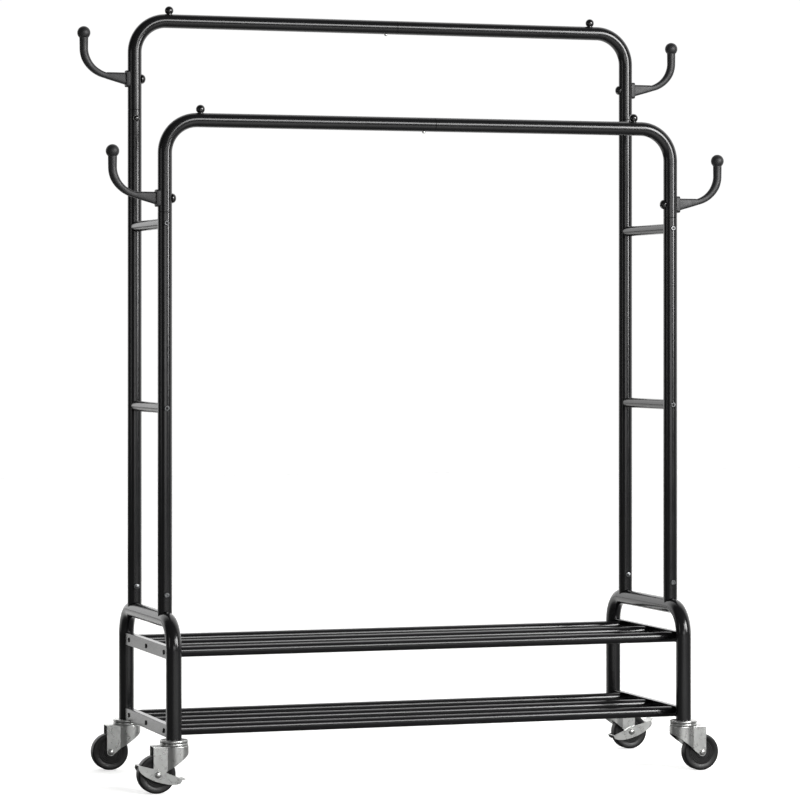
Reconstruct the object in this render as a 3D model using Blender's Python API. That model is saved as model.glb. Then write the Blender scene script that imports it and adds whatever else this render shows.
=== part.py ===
"""A rolling clothes rack: two hanging rails, two rod shelves, coat hooks and swivel casters.

Frame: X to the right, Y to the back, Z up, metres. The origin is on the floor, under the centre.
Left and right are the -X and +X sides, and the front is the -Y side.
"""
import math

import bmesh
import bpy
from mathutils import Vector

MM = 0.001

# Fits, and how finely round pieces are made.
GAP = 0.3 * MM
SLIP = 0.5 * MM
TINY = 1e-7
TUBE_SIDES = 12
SADDLE_SIDES = 24
DRILL_SIDES = 8
SCREW_SIDES = 8
DOME_SIDES = 10
CASTER_SIDES = 16
BEND_STEPS = 6
DOME_ANGLES = (0, 35, 65, 90)

# Tubes.
FRAME_TUBE_R = 15.4 * MM
UPRIGHT_R = 14.3 * MM
RUNG_R = 10.5 * MM
ROD_R = 10.5 * MM
WALL = 1.4 * MM
THIN_WALL = 1.0 * MM
FRAME_BEND_R = 55.7 * MM
RAIL_BEND_R = 66.0 * MM
PLUG_DEPTH = 44.0 * MM
SPIGOT_HEIGHT = 78.0 * MM

# Casters: reaches are from the swivel axis, and outboard is away from the rack's middle.
WHEEL_R = 37.5 * MM
WHEEL_WIDTH = 24.5 * MM
WHEEL_SIDES = 24
HUB_R = 12.0 * MM
RIM_INNER_R = 27.0 * MM
WEB_BEVEL = 2.0 * MM
WEB_SINK = 1.6 * MM
RIM_SINK = 0.6 * MM
TREAD_ROUNDING = 4.0 * MM
CASTER_TRAIL = 36.0 * MM
AXLE_R = 4.0 * MM
AXLE_HEAD_R = 6.4 * MM
AXLE_HEAD_H = 4.2 * MM
AXLE_NUT_H = 4.0 * MM
FORK_SHEET = 1.9 * MM
FORK_SIDE_GAP = 0.75 * MM
FORK_HALF_W = WHEEL_WIDTH / 2 + FORK_SIDE_GAP + FORK_SHEET
FORK_TOP_Z = 2 * WHEEL_R + 17.5 * MM
FORK_SKIRT_Z = FORK_TOP_Z - 14.5 * MM
FORK_DISC_R = 25.0 * MM
FORK_DISC_BACK = 4.0 * MM
FORK_BOSS_R = 8.0 * MM
FORK_TONGUE_END = CASTER_TRAIL + FORK_BOSS_R + 0.5 * MM
FORK_CORNER_REACH = 15.0 * MM
FORK_CORNER_Z = WHEEL_R + 7.5 * MM
FORK_REAR_EDGE = 0.65
FORK_DISC_STEPS = 14
FORK_BOSS_STEPS = 5
RACE_R = 28.2 * MM
RACE_H = 5.2 * MM
RACE_PLATE = 5.5 * MM
KINGPIN_R = 5.0 * MM
KINGPIN_HEAD_R = 8.5 * MM
KINGPIN_HEAD_H = 3.0 * MM
STEM_LENGTH = 48.0 * MM

# Brake levers: places are from the axle, towards the pedal, before the lever is tilted in degrees.
LEVER_SHEET = 1.6 * MM
LEVER_TREAD_GAP = 1.6 * MM
LEVER_HEEL = WHEEL_R + 4.0 * MM
LEVER_TOE = WHEEL_R + 12.5 * MM
LEVER_PEDAL = 6.5 * MM
LEVER_PEDAL_ROOT = 3.0 * MM
LEVER_BELLY = 13.2 * MM
LEVER_BELLY_STEPS = 8
LEVER_HEEL_TOP = 6.0 * MM
LEVER_TOE_TOP = 7.5 * MM
LEVER_SHOULDER = 0.4
LEVER_SHOULDER_RISE = 1.75 * MM
LEVER_CROWN = 10.5 * MM
LEVER_END_HEIGHT = 4.0 * MM
PRESSED_TILT = -20.0
RELEASED_TILT = 18.0

# Driving sizes of the frame. The legs end on the casters' upper race plates.
LEG_X = 539.5 * MM
LEG_Y = 192.4 * MM
UPRIGHT_Y = LEG_Y - FRAME_BEND_R - 13.8 * MM
LEG_FOOT_Z = FORK_TOP_Z + RACE_H + RACE_PLATE + 2 * GAP
CROSSPIECE_Z = 333.0 * MM
REAR_RAIL_Z = 1536.0 * MM
FRONT_RAIL_Z = 1319.1 * MM
TOP_LEG_LENGTH = 183.0 * MM
UPPER_RUNG_Z = FRONT_RAIL_Z - TOP_LEG_LENGTH - 21.9 * MM
LOWER_RUNG_Z = 749.2 * MM

# Shelves. The lower strips start just above the ends of the legs.
STRIP_FACE = 7.6 * MM
STRIP_THICKNESS = 1.8 * MM
STRIP_FLANGE = 13.0 * MM
STRIP_BELOW_ROD = 1.2 * MM
STRIP_ABOVE_FOOT = 0.6 * MM
UPPER_SHELF_Z = 270.0 * MM
LOWER_SHELF_Z = LEG_FOOT_Z + STRIP_ABOVE_FOOT + STRIP_BELOW_ROD + ROD_R
ROD_PITCH = LEG_Y - 50.4 * MM

# Bolts and screws.
BASE_BOLT_RISE = 48.5 * MM
BOLT_R = 3.0 * MM
BOLT_HOLE_R = 3.4 * MM
BOLT_HEAD_R = 5.5 * MM
BOLT_HEAD_H = 2.6 * MM
BOLT_END = 4.8 * MM
NUT_R = 5.8 * MM
NUT_H = 4.5 * MM
CAP_R = 10.0 * MM
CAP_H = 8.2 * MM
RAIL_SCREW_R = 2.2 * MM
RAIL_SCREW_HEAD_R = 3.5 * MM
RAIL_SCREW_TIP = 3.5 * MM
RAIL_SCREW_DEPTH = 4.2 * MM

# Coat hooks: heights are from the bolt, reaches are from the upright's axis.
REAR_HOOK_Z = REAR_RAIL_Z - TOP_LEG_LENGTH + 63.0 * MM
FRONT_HOOK_Z = FRONT_RAIL_Z - TOP_LEG_LENGTH + 27.6 * MM
HOOK_FLANGE_REACH = UPRIGHT_R + 4.8 * MM
HOOK_FLANGE_HALF_H = 17.0 * MM
HOOK_FLANGE_HALF_W = 9.5 * MM
HOOK_ARM_HALF_H = 12.4 * MM
HOOK_ARM_HALF_W = 6.5 * MM
HOOK_ARM_ROOT = 3.0 * MM
HOOK_NECK_REACH = 61.0 * MM
HOOK_NECK_R = 6.2 * MM
HOOK_STEM_REACH = 106.0 * MM
HOOK_STEM_R = 8.7 * MM
HOOK_SWEEP_CENTRE_REACH = 44.0 * MM
HOOK_SWEEP_CENTRE_Z = 60.0 * MM
HOOK_SWEEP_HALF_H = 56.0 * MM
HOOK_SWEEP_STEPS = 7
HOOK_GROWTH = 1.4
HOOK_BALL_Z = 91.5 * MM
HOOK_BALL_R = 13.4 * MM
HOOK_BALL_ANGLES = (65, 90, 115, 142, 168)

# Hanger stops on the rails.
LEFT_STOP_X = 467.0 * MM
RIGHT_STOP_X = 457.5 * MM
STOP_BALL_R = 9.4 * MM
STOP_BALL_SEAT = 6.6 * MM
STOP_BALL_ANGLES = (66, 90, 120, 150, 180)
STOP_STUD_R = 2.5 * MM
STOP_STUD_LENGTH = 9.0 * MM

X_AXIS = Vector((1, 0, 0))
Y_AXIS = Vector((0, 1, 0))
Z_AXIS = Vector((0, 0, 1))
SIDES = (("left", -1), ("right", 1))
DEPTHS = (("front", -1), ("rear", 1))
STOP_PLACES = {"left": -LEFT_STOP_X, "right": RIGHT_STOP_X}
BRAKE_TILTS = {("front", "left"): PRESSED_TILT, ("rear", "right"): RELEASED_TILT}


def clear_scene():
    for item in list(bpy.data.objects):
        bpy.data.objects.remove(item, do_unlink=True)


def make_material(name, colour, roughness, metallic):
    material = bpy.data.materials.new(name)
    material.use_nodes = True
    shader = material.node_tree.nodes["Principled BSDF"]
    shader.inputs["Base Color"].default_value = (*colour, 1.0)
    shader.inputs["Roughness"].default_value = roughness
    shader.inputs["Metallic"].default_value = metallic
    return material


def finish_object(name, mesh, material, smooth_angle=35.0):
    """Turn a bmesh into a named object with outward faces and smooth round sides."""
    bmesh.ops.recalc_face_normals(mesh, faces=mesh.faces)
    data = bpy.data.meshes.new(name)
    mesh.to_mesh(data)
    mesh.free()
    data.shade_smooth()
    data.set_sharp_from_angle(angle=math.radians(smooth_angle))
    data.materials.append(material)
    item = bpy.data.objects.new(name, data)
    bpy.context.collection.objects.link(item)
    return item


def bridge(mesh, first, second):
    """Join two rings of points; a ring of one point is a pole."""
    if len(first) == 1 and len(second) == 1:
        return
    count = max(len(first), len(second))
    for index in range(count):
        step = (index + 1) % count
        if len(first) == 1:
            mesh.faces.new((first[0], second[index], second[step]))
        elif len(second) == 1:
            mesh.faces.new((first[index], second[0], first[step]))
        else:
            mesh.faces.new((first[index], second[index], second[step], first[step]))


def turned(name, profile, origin, axis, material, sides=TUBE_SIDES, facet_to=None, closed=False):
    """A turned piece: profile points are (radius, distance along axis). facet_to is the direction
    that the middle of one facet faces, and closed profiles make rings with a bore."""
    across = facet_to if facet_to else (X_AXIS if abs(axis.x) < 0.5 else Z_AXIS)
    beside = axis.cross(across)
    mesh = bmesh.new()
    rings = []
    for radius, along in profile:
        centre = origin + axis * along
        if radius < TINY:
            rings.append([mesh.verts.new(centre)])
            continue
        ring = []
        for index in range(sides):
            angle = (index + 0.5) * math.tau / sides
            spoke = across * math.cos(angle) + beside * math.sin(angle)
            ring.append(mesh.verts.new(centre + spoke * radius))
        rings.append(ring)
    pairs = list(zip(rings, rings[1:]))
    if closed:
        pairs.append((rings[-1], rings[0]))
    for first, second in pairs:
        bridge(mesh, first, second)
    if not closed:
        for ring in (rings[0], rings[-1]):
            if len(ring) > 1:
                mesh.faces.new(ring)
    return finish_object(name, mesh, material)


def rounded_path(corners, radius):
    """Points and headings along straight runs whose corners are bent to a radius."""
    path = [(corners[0], (corners[1] - corners[0]).normalized())]
    for before, corner, after in zip(corners, corners[1:], corners[2:]):
        heading = (corner - before).normalized()
        leaving = (after - corner).normalized()
        turn = heading.angle(leaving)
        side = heading.cross(leaving).normalized()
        centre = corner - heading * radius * math.tan(turn / 2) + side.cross(heading) * radius
        for step in range(BEND_STEPS + 1):
            angle = turn * step / BEND_STEPS
            now = heading * math.cos(angle) + side.cross(heading) * math.sin(angle)
            path.append((centre - side.cross(now) * radius, now))
    path.append((corners[-1], (corners[-1] - corners[-2]).normalized()))
    return path


def swept(name, stations, side_axis, material, sides=TUBE_SIDES):
    """A tube through stations of (point, heading, half height, half width, bore). Half height lies
    in the plane of the bends, half width along side_axis, and a bore of 0 makes it solid."""
    mesh = bmesh.new()
    skins = []
    hollow = stations[0][4] > 0
    for bored in ((False, True) if hollow else (False,)):
        rings = []
        for point, heading, half_h, half_w, bore in stations:
            normal = side_axis.cross(heading).normalized()
            size_h = bore if bored else half_h
            size_w = bore if bored else half_w
            ring = []
            for index in range(sides):
                angle = (index + 0.5) * math.tau / sides
                offset = normal * math.cos(angle) * size_h + side_axis * math.sin(angle) * size_w
                ring.append(mesh.verts.new(point + offset))
            rings.append(ring)
        for first, second in zip(rings, rings[1:]):
            bridge(mesh, first, second)
        skins.append(rings)
    for end in (0, -1):
        if hollow:
            bridge(mesh, skins[0][end], skins[1][end])
        else:
            mesh.faces.new(skins[0][end])
    return finish_object(name, mesh, material)


def plug_stations(tip, heading, length, radius):
    """Stations of a swaged end that starts at its tip and grows to the plain tube's radius."""
    slim = radius - WALL - SLIP
    shoulder = tip + heading * length
    return [(tip, heading, slim, slim, slim - WALL),
            (shoulder, heading, slim, slim, slim - WALL),
            (shoulder, heading, radius, radius, slim - WALL),
            (shoulder + heading * 2 * WALL, heading, radius, radius, radius - WALL)]


def tube(name, path, radius, wall, side_axis, material, plug_at_start=0.0, plug_at_end=0.0):
    """A bent tube; a plug is a narrowed end of that length that enters the next tube."""
    stations = [(point, heading, radius, radius, radius - wall) for point, heading in path]
    if plug_at_start:
        point, heading = path[0]
        stations[0:1] = plug_stations(point, heading, plug_at_start, radius)
    if plug_at_end:
        point, heading = path[-1]
        backward = plug_stations(point, -heading, plug_at_end, radius)
        stations[-1:] = [(place, heading, half_h, half_w, bore)
                         for place, _, half_h, half_w, bore in reversed(backward)]
    return swept(name, stations, side_axis, material)


def prism(name, outline, origin, along, across, thickness, material):
    """An outline of (distance along, distance across) points, given a thickness to both sides."""
    depth = along.cross(across)
    mesh = bmesh.new()
    rings = []
    for side in (-0.5, 0.5):
        rings.append([mesh.verts.new(origin + along * u + across * v + depth * thickness * side)
                      for u, v in outline])
    bridge(mesh, rings[0], rings[1])
    mesh.faces.new(rings[0])
    mesh.faces.new(rings[1])
    return finish_object(name, mesh, material)


def box(name, low, high, material):
    outline = ((low[0], low[1]), (high[0], low[1]), (high[0], high[1]), (low[0], high[1]))
    middle = (low[2] + high[2]) / 2
    return prism(name, outline, Vector((0, 0, middle)), X_AXIS, Y_AXIS, high[2] - low[2], material)


def boolean(item, tool, operation):
    """Cut or join with a tool that stays in the scene as a hidden guide."""
    modifier = item.modifiers.new(tool.name, "BOOLEAN")
    modifier.operation = operation
    modifier.object = tool
    modifier.solver = "EXACT"
    tool.hide_render = True
    tool.display_type = "WIRE"


def drill(item, origin, axis, radius, reach, material):
    """A hole that clears a pin of the given radius and reaches both ways from its origin."""
    corner = radius / math.cos(math.pi / DRILL_SIDES)
    tool = turned(item.name + "_drill", ((corner, -reach), (corner, reach)), origin, axis, material,
                  sides=DRILL_SIDES)
    boolean(item, tool, "DIFFERENCE")


def arc(centre_u, centre_v, radius, start, stop, steps):
    """Points on a circle from one angle to another, in degrees."""
    points = []
    for step in range(steps + 1):
        angle = math.radians(start + (stop - start) * step / steps)
        points.append((centre_u + radius * math.cos(angle), centre_v + radius * math.sin(angle)))
    return points


def dome(radius, height, face):
    """The profile of a domed head, from its pole to its seat at -face."""
    points = []
    for angle in map(math.radians, DOME_ANGLES):
        points.append((radius * math.sin(angle), -face - height * math.cos(angle)))
    return points


def base_frame_path(sign):
    """Up one leg, across, and down the other."""
    x = sign * LEG_X
    corners = [Vector((x, -LEG_Y, LEG_FOOT_Z)), Vector((x, -LEG_Y, CROSSPIECE_Z)),
               Vector((x, LEG_Y, CROSSPIECE_Z)), Vector((x, LEG_Y, LEG_FOOT_Z))]
    return rounded_path(corners, FRAME_BEND_R)


def make_base_frame(side, sign, finish):
    """The inverted U that stands on two casters, with a welded spigot for each upright."""
    x = sign * LEG_X
    name = "base_frame_" + side
    frame = tube(name, base_frame_path(sign), FRAME_TUBE_R, WALL, X_AXIS, finish)
    slim = UPRIGHT_R - WALL - SLIP
    for depth, direction in DEPTHS:
        foot = Vector((x, direction * UPRIGHT_Y, CROSSPIECE_Z))
        profile = ((slim, FRAME_TUBE_R / 3), (slim, SPIGOT_HEIGHT),
                   (slim - WALL, SPIGOT_HEIGHT), (slim - WALL, FRAME_TUBE_R / 3))
        spigot = turned(name + "_spigot_" + depth, profile, foot, Z_AXIS, finish, closed=True)
        boolean(frame, spigot, "UNION")
    for depth, direction in DEPTHS:
        bolt_at = Vector((x, direction * UPRIGHT_Y, CROSSPIECE_Z + BASE_BOLT_RISE))
        drill(frame, bolt_at, Y_AXIS, BOLT_HOLE_R, UPRIGHT_R * 1.5, finish)
    return frame


def make_upright(depth, direction, side, sign, seam_z, finish):
    """A lower upright tube, saddle-cut at the foot, that stands on the crosspiece."""
    name = "upright_%s_%s" % (depth, side)
    foot = Vector((sign * LEG_X, direction * UPRIGHT_Y, CROSSPIECE_Z))
    top = Vector((foot.x, foot.y, seam_z))
    upright = tube(name, [(foot, Z_AXIS), (top, Z_AXIS)], UPRIGHT_R, WALL, X_AXIS, finish)
    saddle_profile = ((FRAME_TUBE_R + GAP, -2 * UPRIGHT_R), (FRAME_TUBE_R + GAP, 2 * UPRIGHT_R))
    saddle = turned(name + "_saddle", saddle_profile, foot, Y_AXIS, finish, sides=SADDLE_SIDES)
    boolean(upright, saddle, "DIFFERENCE")
    bolt_at = foot + Z_AXIS * BASE_BOLT_RISE
    drill(upright, bolt_at, Y_AXIS, BOLT_HOLE_R, UPRIGHT_R * 1.5, finish)
    return upright


def make_top_rail(depth, direction, side, sign, rail_z, hook_z, finish):
    """Half of a hanging rail, bent down at its outer end and plugged into its upright.
    The right half's inner end is narrowed and enters the left half at the middle."""
    name = "top_rail_%s_%s" % (depth, side)
    y = direction * UPRIGHT_Y
    middle = PLUG_DEPTH / 2 + (GAP if sign > 0 else 0)
    start_x = middle - PLUG_DEPTH if sign > 0 else middle
    foot_z = rail_z - TOP_LEG_LENGTH + GAP - PLUG_DEPTH
    corners = [Vector((start_x, y, rail_z)), Vector((sign * LEG_X, y, rail_z)),
               Vector((sign * LEG_X, y, foot_z))]
    path = rounded_path(corners, RAIL_BEND_R)
    inner_plug = PLUG_DEPTH if sign > 0 else 0.0
    rail = tube(name, path, UPRIGHT_R, WALL, Y_AXIS, finish, inner_plug, PLUG_DEPTH)
    drill(rail, Vector((sign * LEG_X, y, hook_z)), X_AXIS, BOLT_HOLE_R, UPRIGHT_R * 1.5, finish)
    drill(rail, Vector((STOP_PLACES[side], y, rail_z + UPRIGHT_R)), Z_AXIS,
          STOP_STUD_R + GAP, UPRIGHT_R / 2, finish)
    drill(rail, Vector((0, y, rail_z - UPRIGHT_R)), Z_AXIS, RAIL_SCREW_R + GAP, UPRIGHT_R / 2, finish)
    return rail


def make_rail_screw(depth, direction, rail_z, zinc):
    """The screw under the middle of a rail that holds its two halves together."""
    at = Vector((0, direction * UPRIGHT_Y, rail_z - UPRIGHT_R))
    head = RAIL_SCREW_HEAD_R
    profile = ((0, -RAIL_SCREW_TIP), (head * 0.7, -RAIL_SCREW_TIP), (head, -2 * GAP), (head, -GAP),
               (RAIL_SCREW_R, -GAP), (RAIL_SCREW_R, RAIL_SCREW_DEPTH), (0, RAIL_SCREW_DEPTH))
    return turned("rail_screw_" + depth, profile, at, Z_AXIS, zinc, sides=SCREW_SIDES)


def make_rung(level, z, side, sign, finish):
    """A cross tube between the front and rear uprights, coped to both."""
    name = "rung_%s_%s" % (level, side)
    x = sign * LEG_X
    ends = [Vector((x, -UPRIGHT_Y, z)), Vector((x, UPRIGHT_Y, z))]
    rung = tube(name, [(end, Y_AXIS) for end in ends], RUNG_R, THIN_WALL, X_AXIS, finish)
    for depth, direction in DEPTHS:
        at = Vector((x, direction * UPRIGHT_Y, z))
        profile = ((UPRIGHT_R + GAP, -2 * RUNG_R), (UPRIGHT_R + GAP, 2 * RUNG_R))
        cope = turned(name + "_cope_" + depth, profile, at, Z_AXIS, finish)
        boolean(rung, cope, "DIFFERENCE")
    return rung


def make_shelf_rail(tier, z, side, sign, finish):
    """The L-shaped side strip of a shelf: an outer web and a top flange that points inward."""
    name = "shelf_rail_%s_%s" % (tier, side)
    face = LEG_X + STRIP_FACE
    inner_web = face - STRIP_THICKNESS
    flange_end = face - STRIP_FLANGE
    top = z + ROD_R + 2 * GAP + STRIP_THICKNESS
    low = z - ROD_R - STRIP_BELOW_ROD
    under = top - STRIP_THICKNESS
    outline = ((face, low), (face, top), (flange_end, top), (flange_end, under), (inner_web, under),
               (inner_web, low))
    outline = [(sign * reach, height) for reach, height in outline]
    strip = prism(name, outline, Vector((0, 0, 0)), X_AXIS, Z_AXIS, 2 * LEG_Y, finish)
    notch_r = FRAME_TUBE_R + GAP
    notch = swept(name + "_notch", [(point, heading, notch_r, notch_r, 0)
                                    for point, heading in base_frame_path(sign)], X_AXIS, finish)
    boolean(strip, notch, "DIFFERENCE")
    for depth, direction in DEPTHS:
        at = Vector((sign * LEG_X, direction * LEG_Y, z))
        outside = sorted((at.x - FRAME_TUBE_R * 2, at.x + FRAME_TUBE_R * 2))
        beyond = sorted((at.y, at.y + direction * FRAME_TUBE_R))
        trim = box(name + "_trim_" + depth, (outside[0], beyond[0], low - GAP),
                   (outside[1], beyond[1], top + GAP), finish)
        boolean(strip, trim, "DIFFERENCE")
    return strip


def make_shelf_rod(tier, z, place, y, finish):
    """A shelf rod, a thin tube between the webs of the left and right strips."""
    half = LEG_X + STRIP_FACE - STRIP_THICKNESS - GAP
    ends = [Vector((-half, y, z)), Vector((half, y, z))]
    return tube("shelf_rod_%s_%s" % (tier, place), [(end, X_AXIS) for end in ends], ROD_R, THIN_WALL,
                Y_AXIS, finish)


def make_base_bolt(depth, direction, side, sign, zinc):
    """The bolt and nut that clamp an upright on its spigot. The front bolts' heads face the front,
    and so do the rear bolts' nuts."""
    at = Vector((sign * LEG_X, direction * UPRIGHT_Y, CROSSPIECE_Z + BASE_BOLT_RISE))
    face = UPRIGHT_R + GAP
    nut_face = face + NUT_H
    profile = ((0, -face - BOLT_HEAD_H), (BOLT_HEAD_R, -face - BOLT_HEAD_H), (BOLT_HEAD_R, -face),
               (BOLT_R, -face), (BOLT_R, face), (NUT_R, face), (NUT_R, nut_face),
               (BOLT_R, nut_face), (BOLT_R, nut_face + BOLT_END), (0, nut_face + BOLT_END))
    name = "base_bolt_%s_%s" % (depth, side)
    return turned(name, profile, at, Y_AXIS * -direction, zinc, sides=SCREW_SIDES)


def make_hook(depth, direction, side, sign, hook_z, plastic):
    """A coat hook: a saddled flange, a tapering arm that sweeps up to a stem, and a ball."""
    name = "hook_%s_%s" % (depth, side)
    outward = X_AXIS * sign
    bolt = Vector((sign * LEG_X, direction * UPRIGHT_Y, hook_z))
    at_neck = HOOK_NECK_REACH - HOOK_SWEEP_CENTRE_REACH
    half_reach = HOOK_STEM_REACH - HOOK_SWEEP_CENTRE_REACH
    start = math.asin(at_neck / half_reach)
    root = bolt + outward * (HOOK_FLANGE_REACH - HOOK_ARM_ROOT)
    stations = [(root, outward, HOOK_ARM_HALF_H, HOOK_ARM_HALF_W, 0)]
    for step in range(HOOK_SWEEP_STEPS + 1):
        share = step / HOOK_SWEEP_STEPS
        angle = start + (math.pi / 2 - start) * share
        radius = HOOK_NECK_R + (HOOK_STEM_R - HOOK_NECK_R) * min(1.0, HOOK_GROWTH * share)
        reach = HOOK_SWEEP_CENTRE_REACH + half_reach * math.sin(angle)
        height = HOOK_SWEEP_CENTRE_Z - HOOK_SWEEP_HALF_H * math.cos(angle)
        heading = (outward * half_reach * math.cos(angle)
                   + Z_AXIS * HOOK_SWEEP_HALF_H * math.sin(angle)).normalized()
        point = bolt + outward * reach + Z_AXIS * height
        stations.append((point, heading, radius, radius, 0))
    ball = bolt + outward * HOOK_STEM_REACH + Z_AXIS * HOOK_BALL_Z
    ball_r = HOOK_BALL_R / math.cos(math.pi / TUBE_SIDES)
    for angle in (math.asin(HOOK_STEM_R / ball_r), *map(math.radians, HOOK_BALL_ANGLES)):
        radius = ball_r * math.sin(angle)
        stations.append((ball - Z_AXIS * ball_r * math.cos(angle), Z_AXIS, radius, radius, 0))
    hook = swept(name, stations, Y_AXIS, plastic)
    flange_box = box(name + "_flange", (-HOOK_FLANGE_HALF_W, -HOOK_FLANGE_HALF_W, -HOOK_FLANGE_HALF_H),
                     (HOOK_FLANGE_HALF_W, HOOK_FLANGE_HALF_W, HOOK_FLANGE_HALF_H), plastic)
    flange_box.location = bolt + outward * (HOOK_FLANGE_REACH - HOOK_FLANGE_HALF_W)
    boolean(hook, flange_box, "UNION")
    profile = ((UPRIGHT_R + GAP, -2 * HOOK_FLANGE_HALF_H), (UPRIGHT_R + GAP, 2 * HOOK_FLANGE_HALF_H))
    saddle = turned(name + "_saddle", profile, bolt, Z_AXIS, plastic, sides=SADDLE_SIDES)
    boolean(hook, saddle, "DIFFERENCE")
    drill(hook, bolt, X_AXIS, BOLT_HOLE_R, HOOK_FLANGE_REACH + HOOK_ARM_ROOT, plastic)
    return hook


def make_hook_bolt(depth, direction, side, sign, hook_z, finish):
    """The domed bolt that passes through the upright and ends inside the hook's flange."""
    bolt = Vector((sign * LEG_X, direction * UPRIGHT_Y, hook_z))
    face = UPRIGHT_R + GAP
    profile = (*dome(CAP_R, CAP_H, face), (BOLT_R, -face), (BOLT_R, HOOK_FLANGE_REACH),
               (0, HOOK_FLANGE_REACH))
    name = "hook_bolt_%s_%s" % (depth, side)
    return turned(name, profile, bolt, X_AXIS * sign, finish, sides=DOME_SIDES)


def make_stop_knob(depth, direction, side, rail_z, plastic):
    """A ball with a flat seat on the rail that stops the hangers, with its stud in the tube."""
    seat = Vector((STOP_PLACES[side], direction * UPRIGHT_Y, rail_z + UPRIGHT_R + GAP))
    base_angle = math.acos(STOP_BALL_SEAT / STOP_BALL_R)
    ball = []
    for angle in (base_angle, *map(math.radians, STOP_BALL_ANGLES)):
        ball.append((STOP_BALL_R * math.sin(angle), STOP_BALL_SEAT - STOP_BALL_R * math.cos(angle)))
    profile = ((0, -STOP_STUD_LENGTH), (STOP_STUD_R, -STOP_STUD_LENGTH), (STOP_STUD_R, ball[0][1]),
               *ball)
    name = "stop_knob_%s_%s" % (depth, side)
    return turned(name, profile, seat, Z_AXIS, plastic, sides=DOME_SIDES)


def make_caster_stem(depth, side, leg, zinc):
    """The plug in the leg, the upper raceway plate, and the kingpin that holds the fork."""
    plug_r = (FRAME_TUBE_R - WALL) * math.cos(math.pi / TUBE_SIDES) - GAP
    plate_low = FORK_TOP_Z + RACE_H + GAP
    plate_top = LEG_FOOT_Z - GAP
    under_fork = FORK_TOP_Z - FORK_SHEET - GAP
    profile = ((0, under_fork - KINGPIN_HEAD_H), (KINGPIN_HEAD_R, under_fork - KINGPIN_HEAD_H),
               (KINGPIN_HEAD_R, under_fork), (KINGPIN_R, under_fork), (KINGPIN_R, plate_low),
               (RACE_R, plate_low), (RACE_R, plate_top), (plug_r, plate_top),
               (plug_r, plate_top + STEM_LENGTH), (0, plate_top + STEM_LENGTH))
    name = "caster_stem_%s_%s" % (depth, side)
    foot = Vector((leg.x, leg.y, 0))
    return turned(name, profile, foot, Z_AXIS, zinc, sides=CASTER_SIDES)


def fork_outline(inset, tongue_end):
    """The fork seen from above: a disc behind the kingpin with a straight tongue outboard."""
    radius = FORK_DISC_R - inset
    half_w = FORK_HALF_W - inset
    corner = math.degrees(math.asin(half_w / radius))
    disc = arc(-FORK_DISC_BACK, 0, radius, corner, 360 - corner, FORK_DISC_STEPS)
    return [(tongue_end, half_w), *disc, (tongue_end, -half_w)]


def make_caster_fork(depth, side, leg, outward, zinc):
    """A pressed fork: a top plate, a skirt round the kingpin, and two plates down to the axle."""
    name = "caster_fork_%s_%s" % (depth, side)
    across = Z_AXIS.cross(outward)
    low = WHEEL_R - FORK_BOSS_R - FORK_SHEET
    below = low - FORK_SHEET
    middle = Vector((leg.x, leg.y, (low + FORK_TOP_Z) / 2))
    plan = fork_outline(0, FORK_TONGUE_END)
    fork = prism(name, plan, middle, outward, across, FORK_TOP_Z - low, zinc)
    front = -FORK_DISC_BACK - FORK_DISC_R - FORK_SHEET
    back = FORK_TONGUE_END + FORK_SHEET
    over = FORK_TOP_Z + FORK_SHEET
    boss = arc(CASTER_TRAIL, WHEEL_R, FORK_BOSS_R, 225, 360, FORK_BOSS_STEPS)
    side_view = [(front, over), (front, FORK_SKIRT_Z), (FORK_CORNER_REACH, FORK_CORNER_Z), *boss,
                 (back, FORK_TOP_Z * FORK_REAR_EDGE), (back, over)]
    ground = Vector((leg.x, leg.y, 0))
    keep = prism(name + "_side", side_view, ground, outward, Z_AXIS, 3 * FORK_DISC_R, zinc)
    boolean(fork, keep, "INTERSECT")
    hollow_top = FORK_TOP_Z - FORK_SHEET
    hollow_middle = Vector((leg.x, leg.y, (hollow_top + below) / 2))
    hollow_plan = fork_outline(FORK_SHEET, FORK_TONGUE_END + 2 * FORK_SHEET)
    hollow = prism(name + "_hollow", hollow_plan, hollow_middle, outward, across, hollow_top - below,
                   zinc)
    boolean(fork, hollow, "DIFFERENCE")
    race_profile = ((KINGPIN_R + GAP, -FORK_SHEET / 2), (RACE_R, -FORK_SHEET / 2), (RACE_R, RACE_H),
                    (KINGPIN_R + GAP, RACE_H))
    race = turned(name + "_race", race_profile, Vector((leg.x, leg.y, FORK_TOP_Z)), Z_AXIS, zinc,
                  sides=CASTER_SIDES, closed=True)
    boolean(fork, race, "UNION")
    drill(fork, Vector((leg.x, leg.y, FORK_TOP_Z)), Z_AXIS, KINGPIN_R + GAP, 2 * RACE_H, zinc)
    axle = ground + outward * CASTER_TRAIL + Z_AXIS * WHEEL_R
    drill(fork, axle, Y_AXIS, AXLE_R + GAP, 2 * FORK_HALF_W, zinc)
    return fork


def make_caster_wheel(depth, side, axle, rubber):
    """A grooved wheel with a plain bore. Its lowest facet is flat on the floor."""
    half = WHEEL_WIDTH / 2
    bore = AXLE_R + GAP * 1.5
    rim = WHEEL_R / math.cos(math.pi / WHEEL_SIDES)
    web = half - WEB_SINK
    shoulder = half - RIM_SINK
    face = ((bore, half), (HUB_R, half), (HUB_R + WEB_BEVEL, web), (RIM_INNER_R - WEB_BEVEL, web),
            (RIM_INNER_R, shoulder), (rim - TREAD_ROUNDING, shoulder), (rim, half - TREAD_ROUNDING))
    profile = [*face, *[(radius, -along) for radius, along in reversed(face)]]
    return turned("caster_wheel_%s_%s" % (depth, side), profile, axle, Y_AXIS, rubber,
                  sides=WHEEL_SIDES, facet_to=-Z_AXIS, closed=True)


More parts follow.
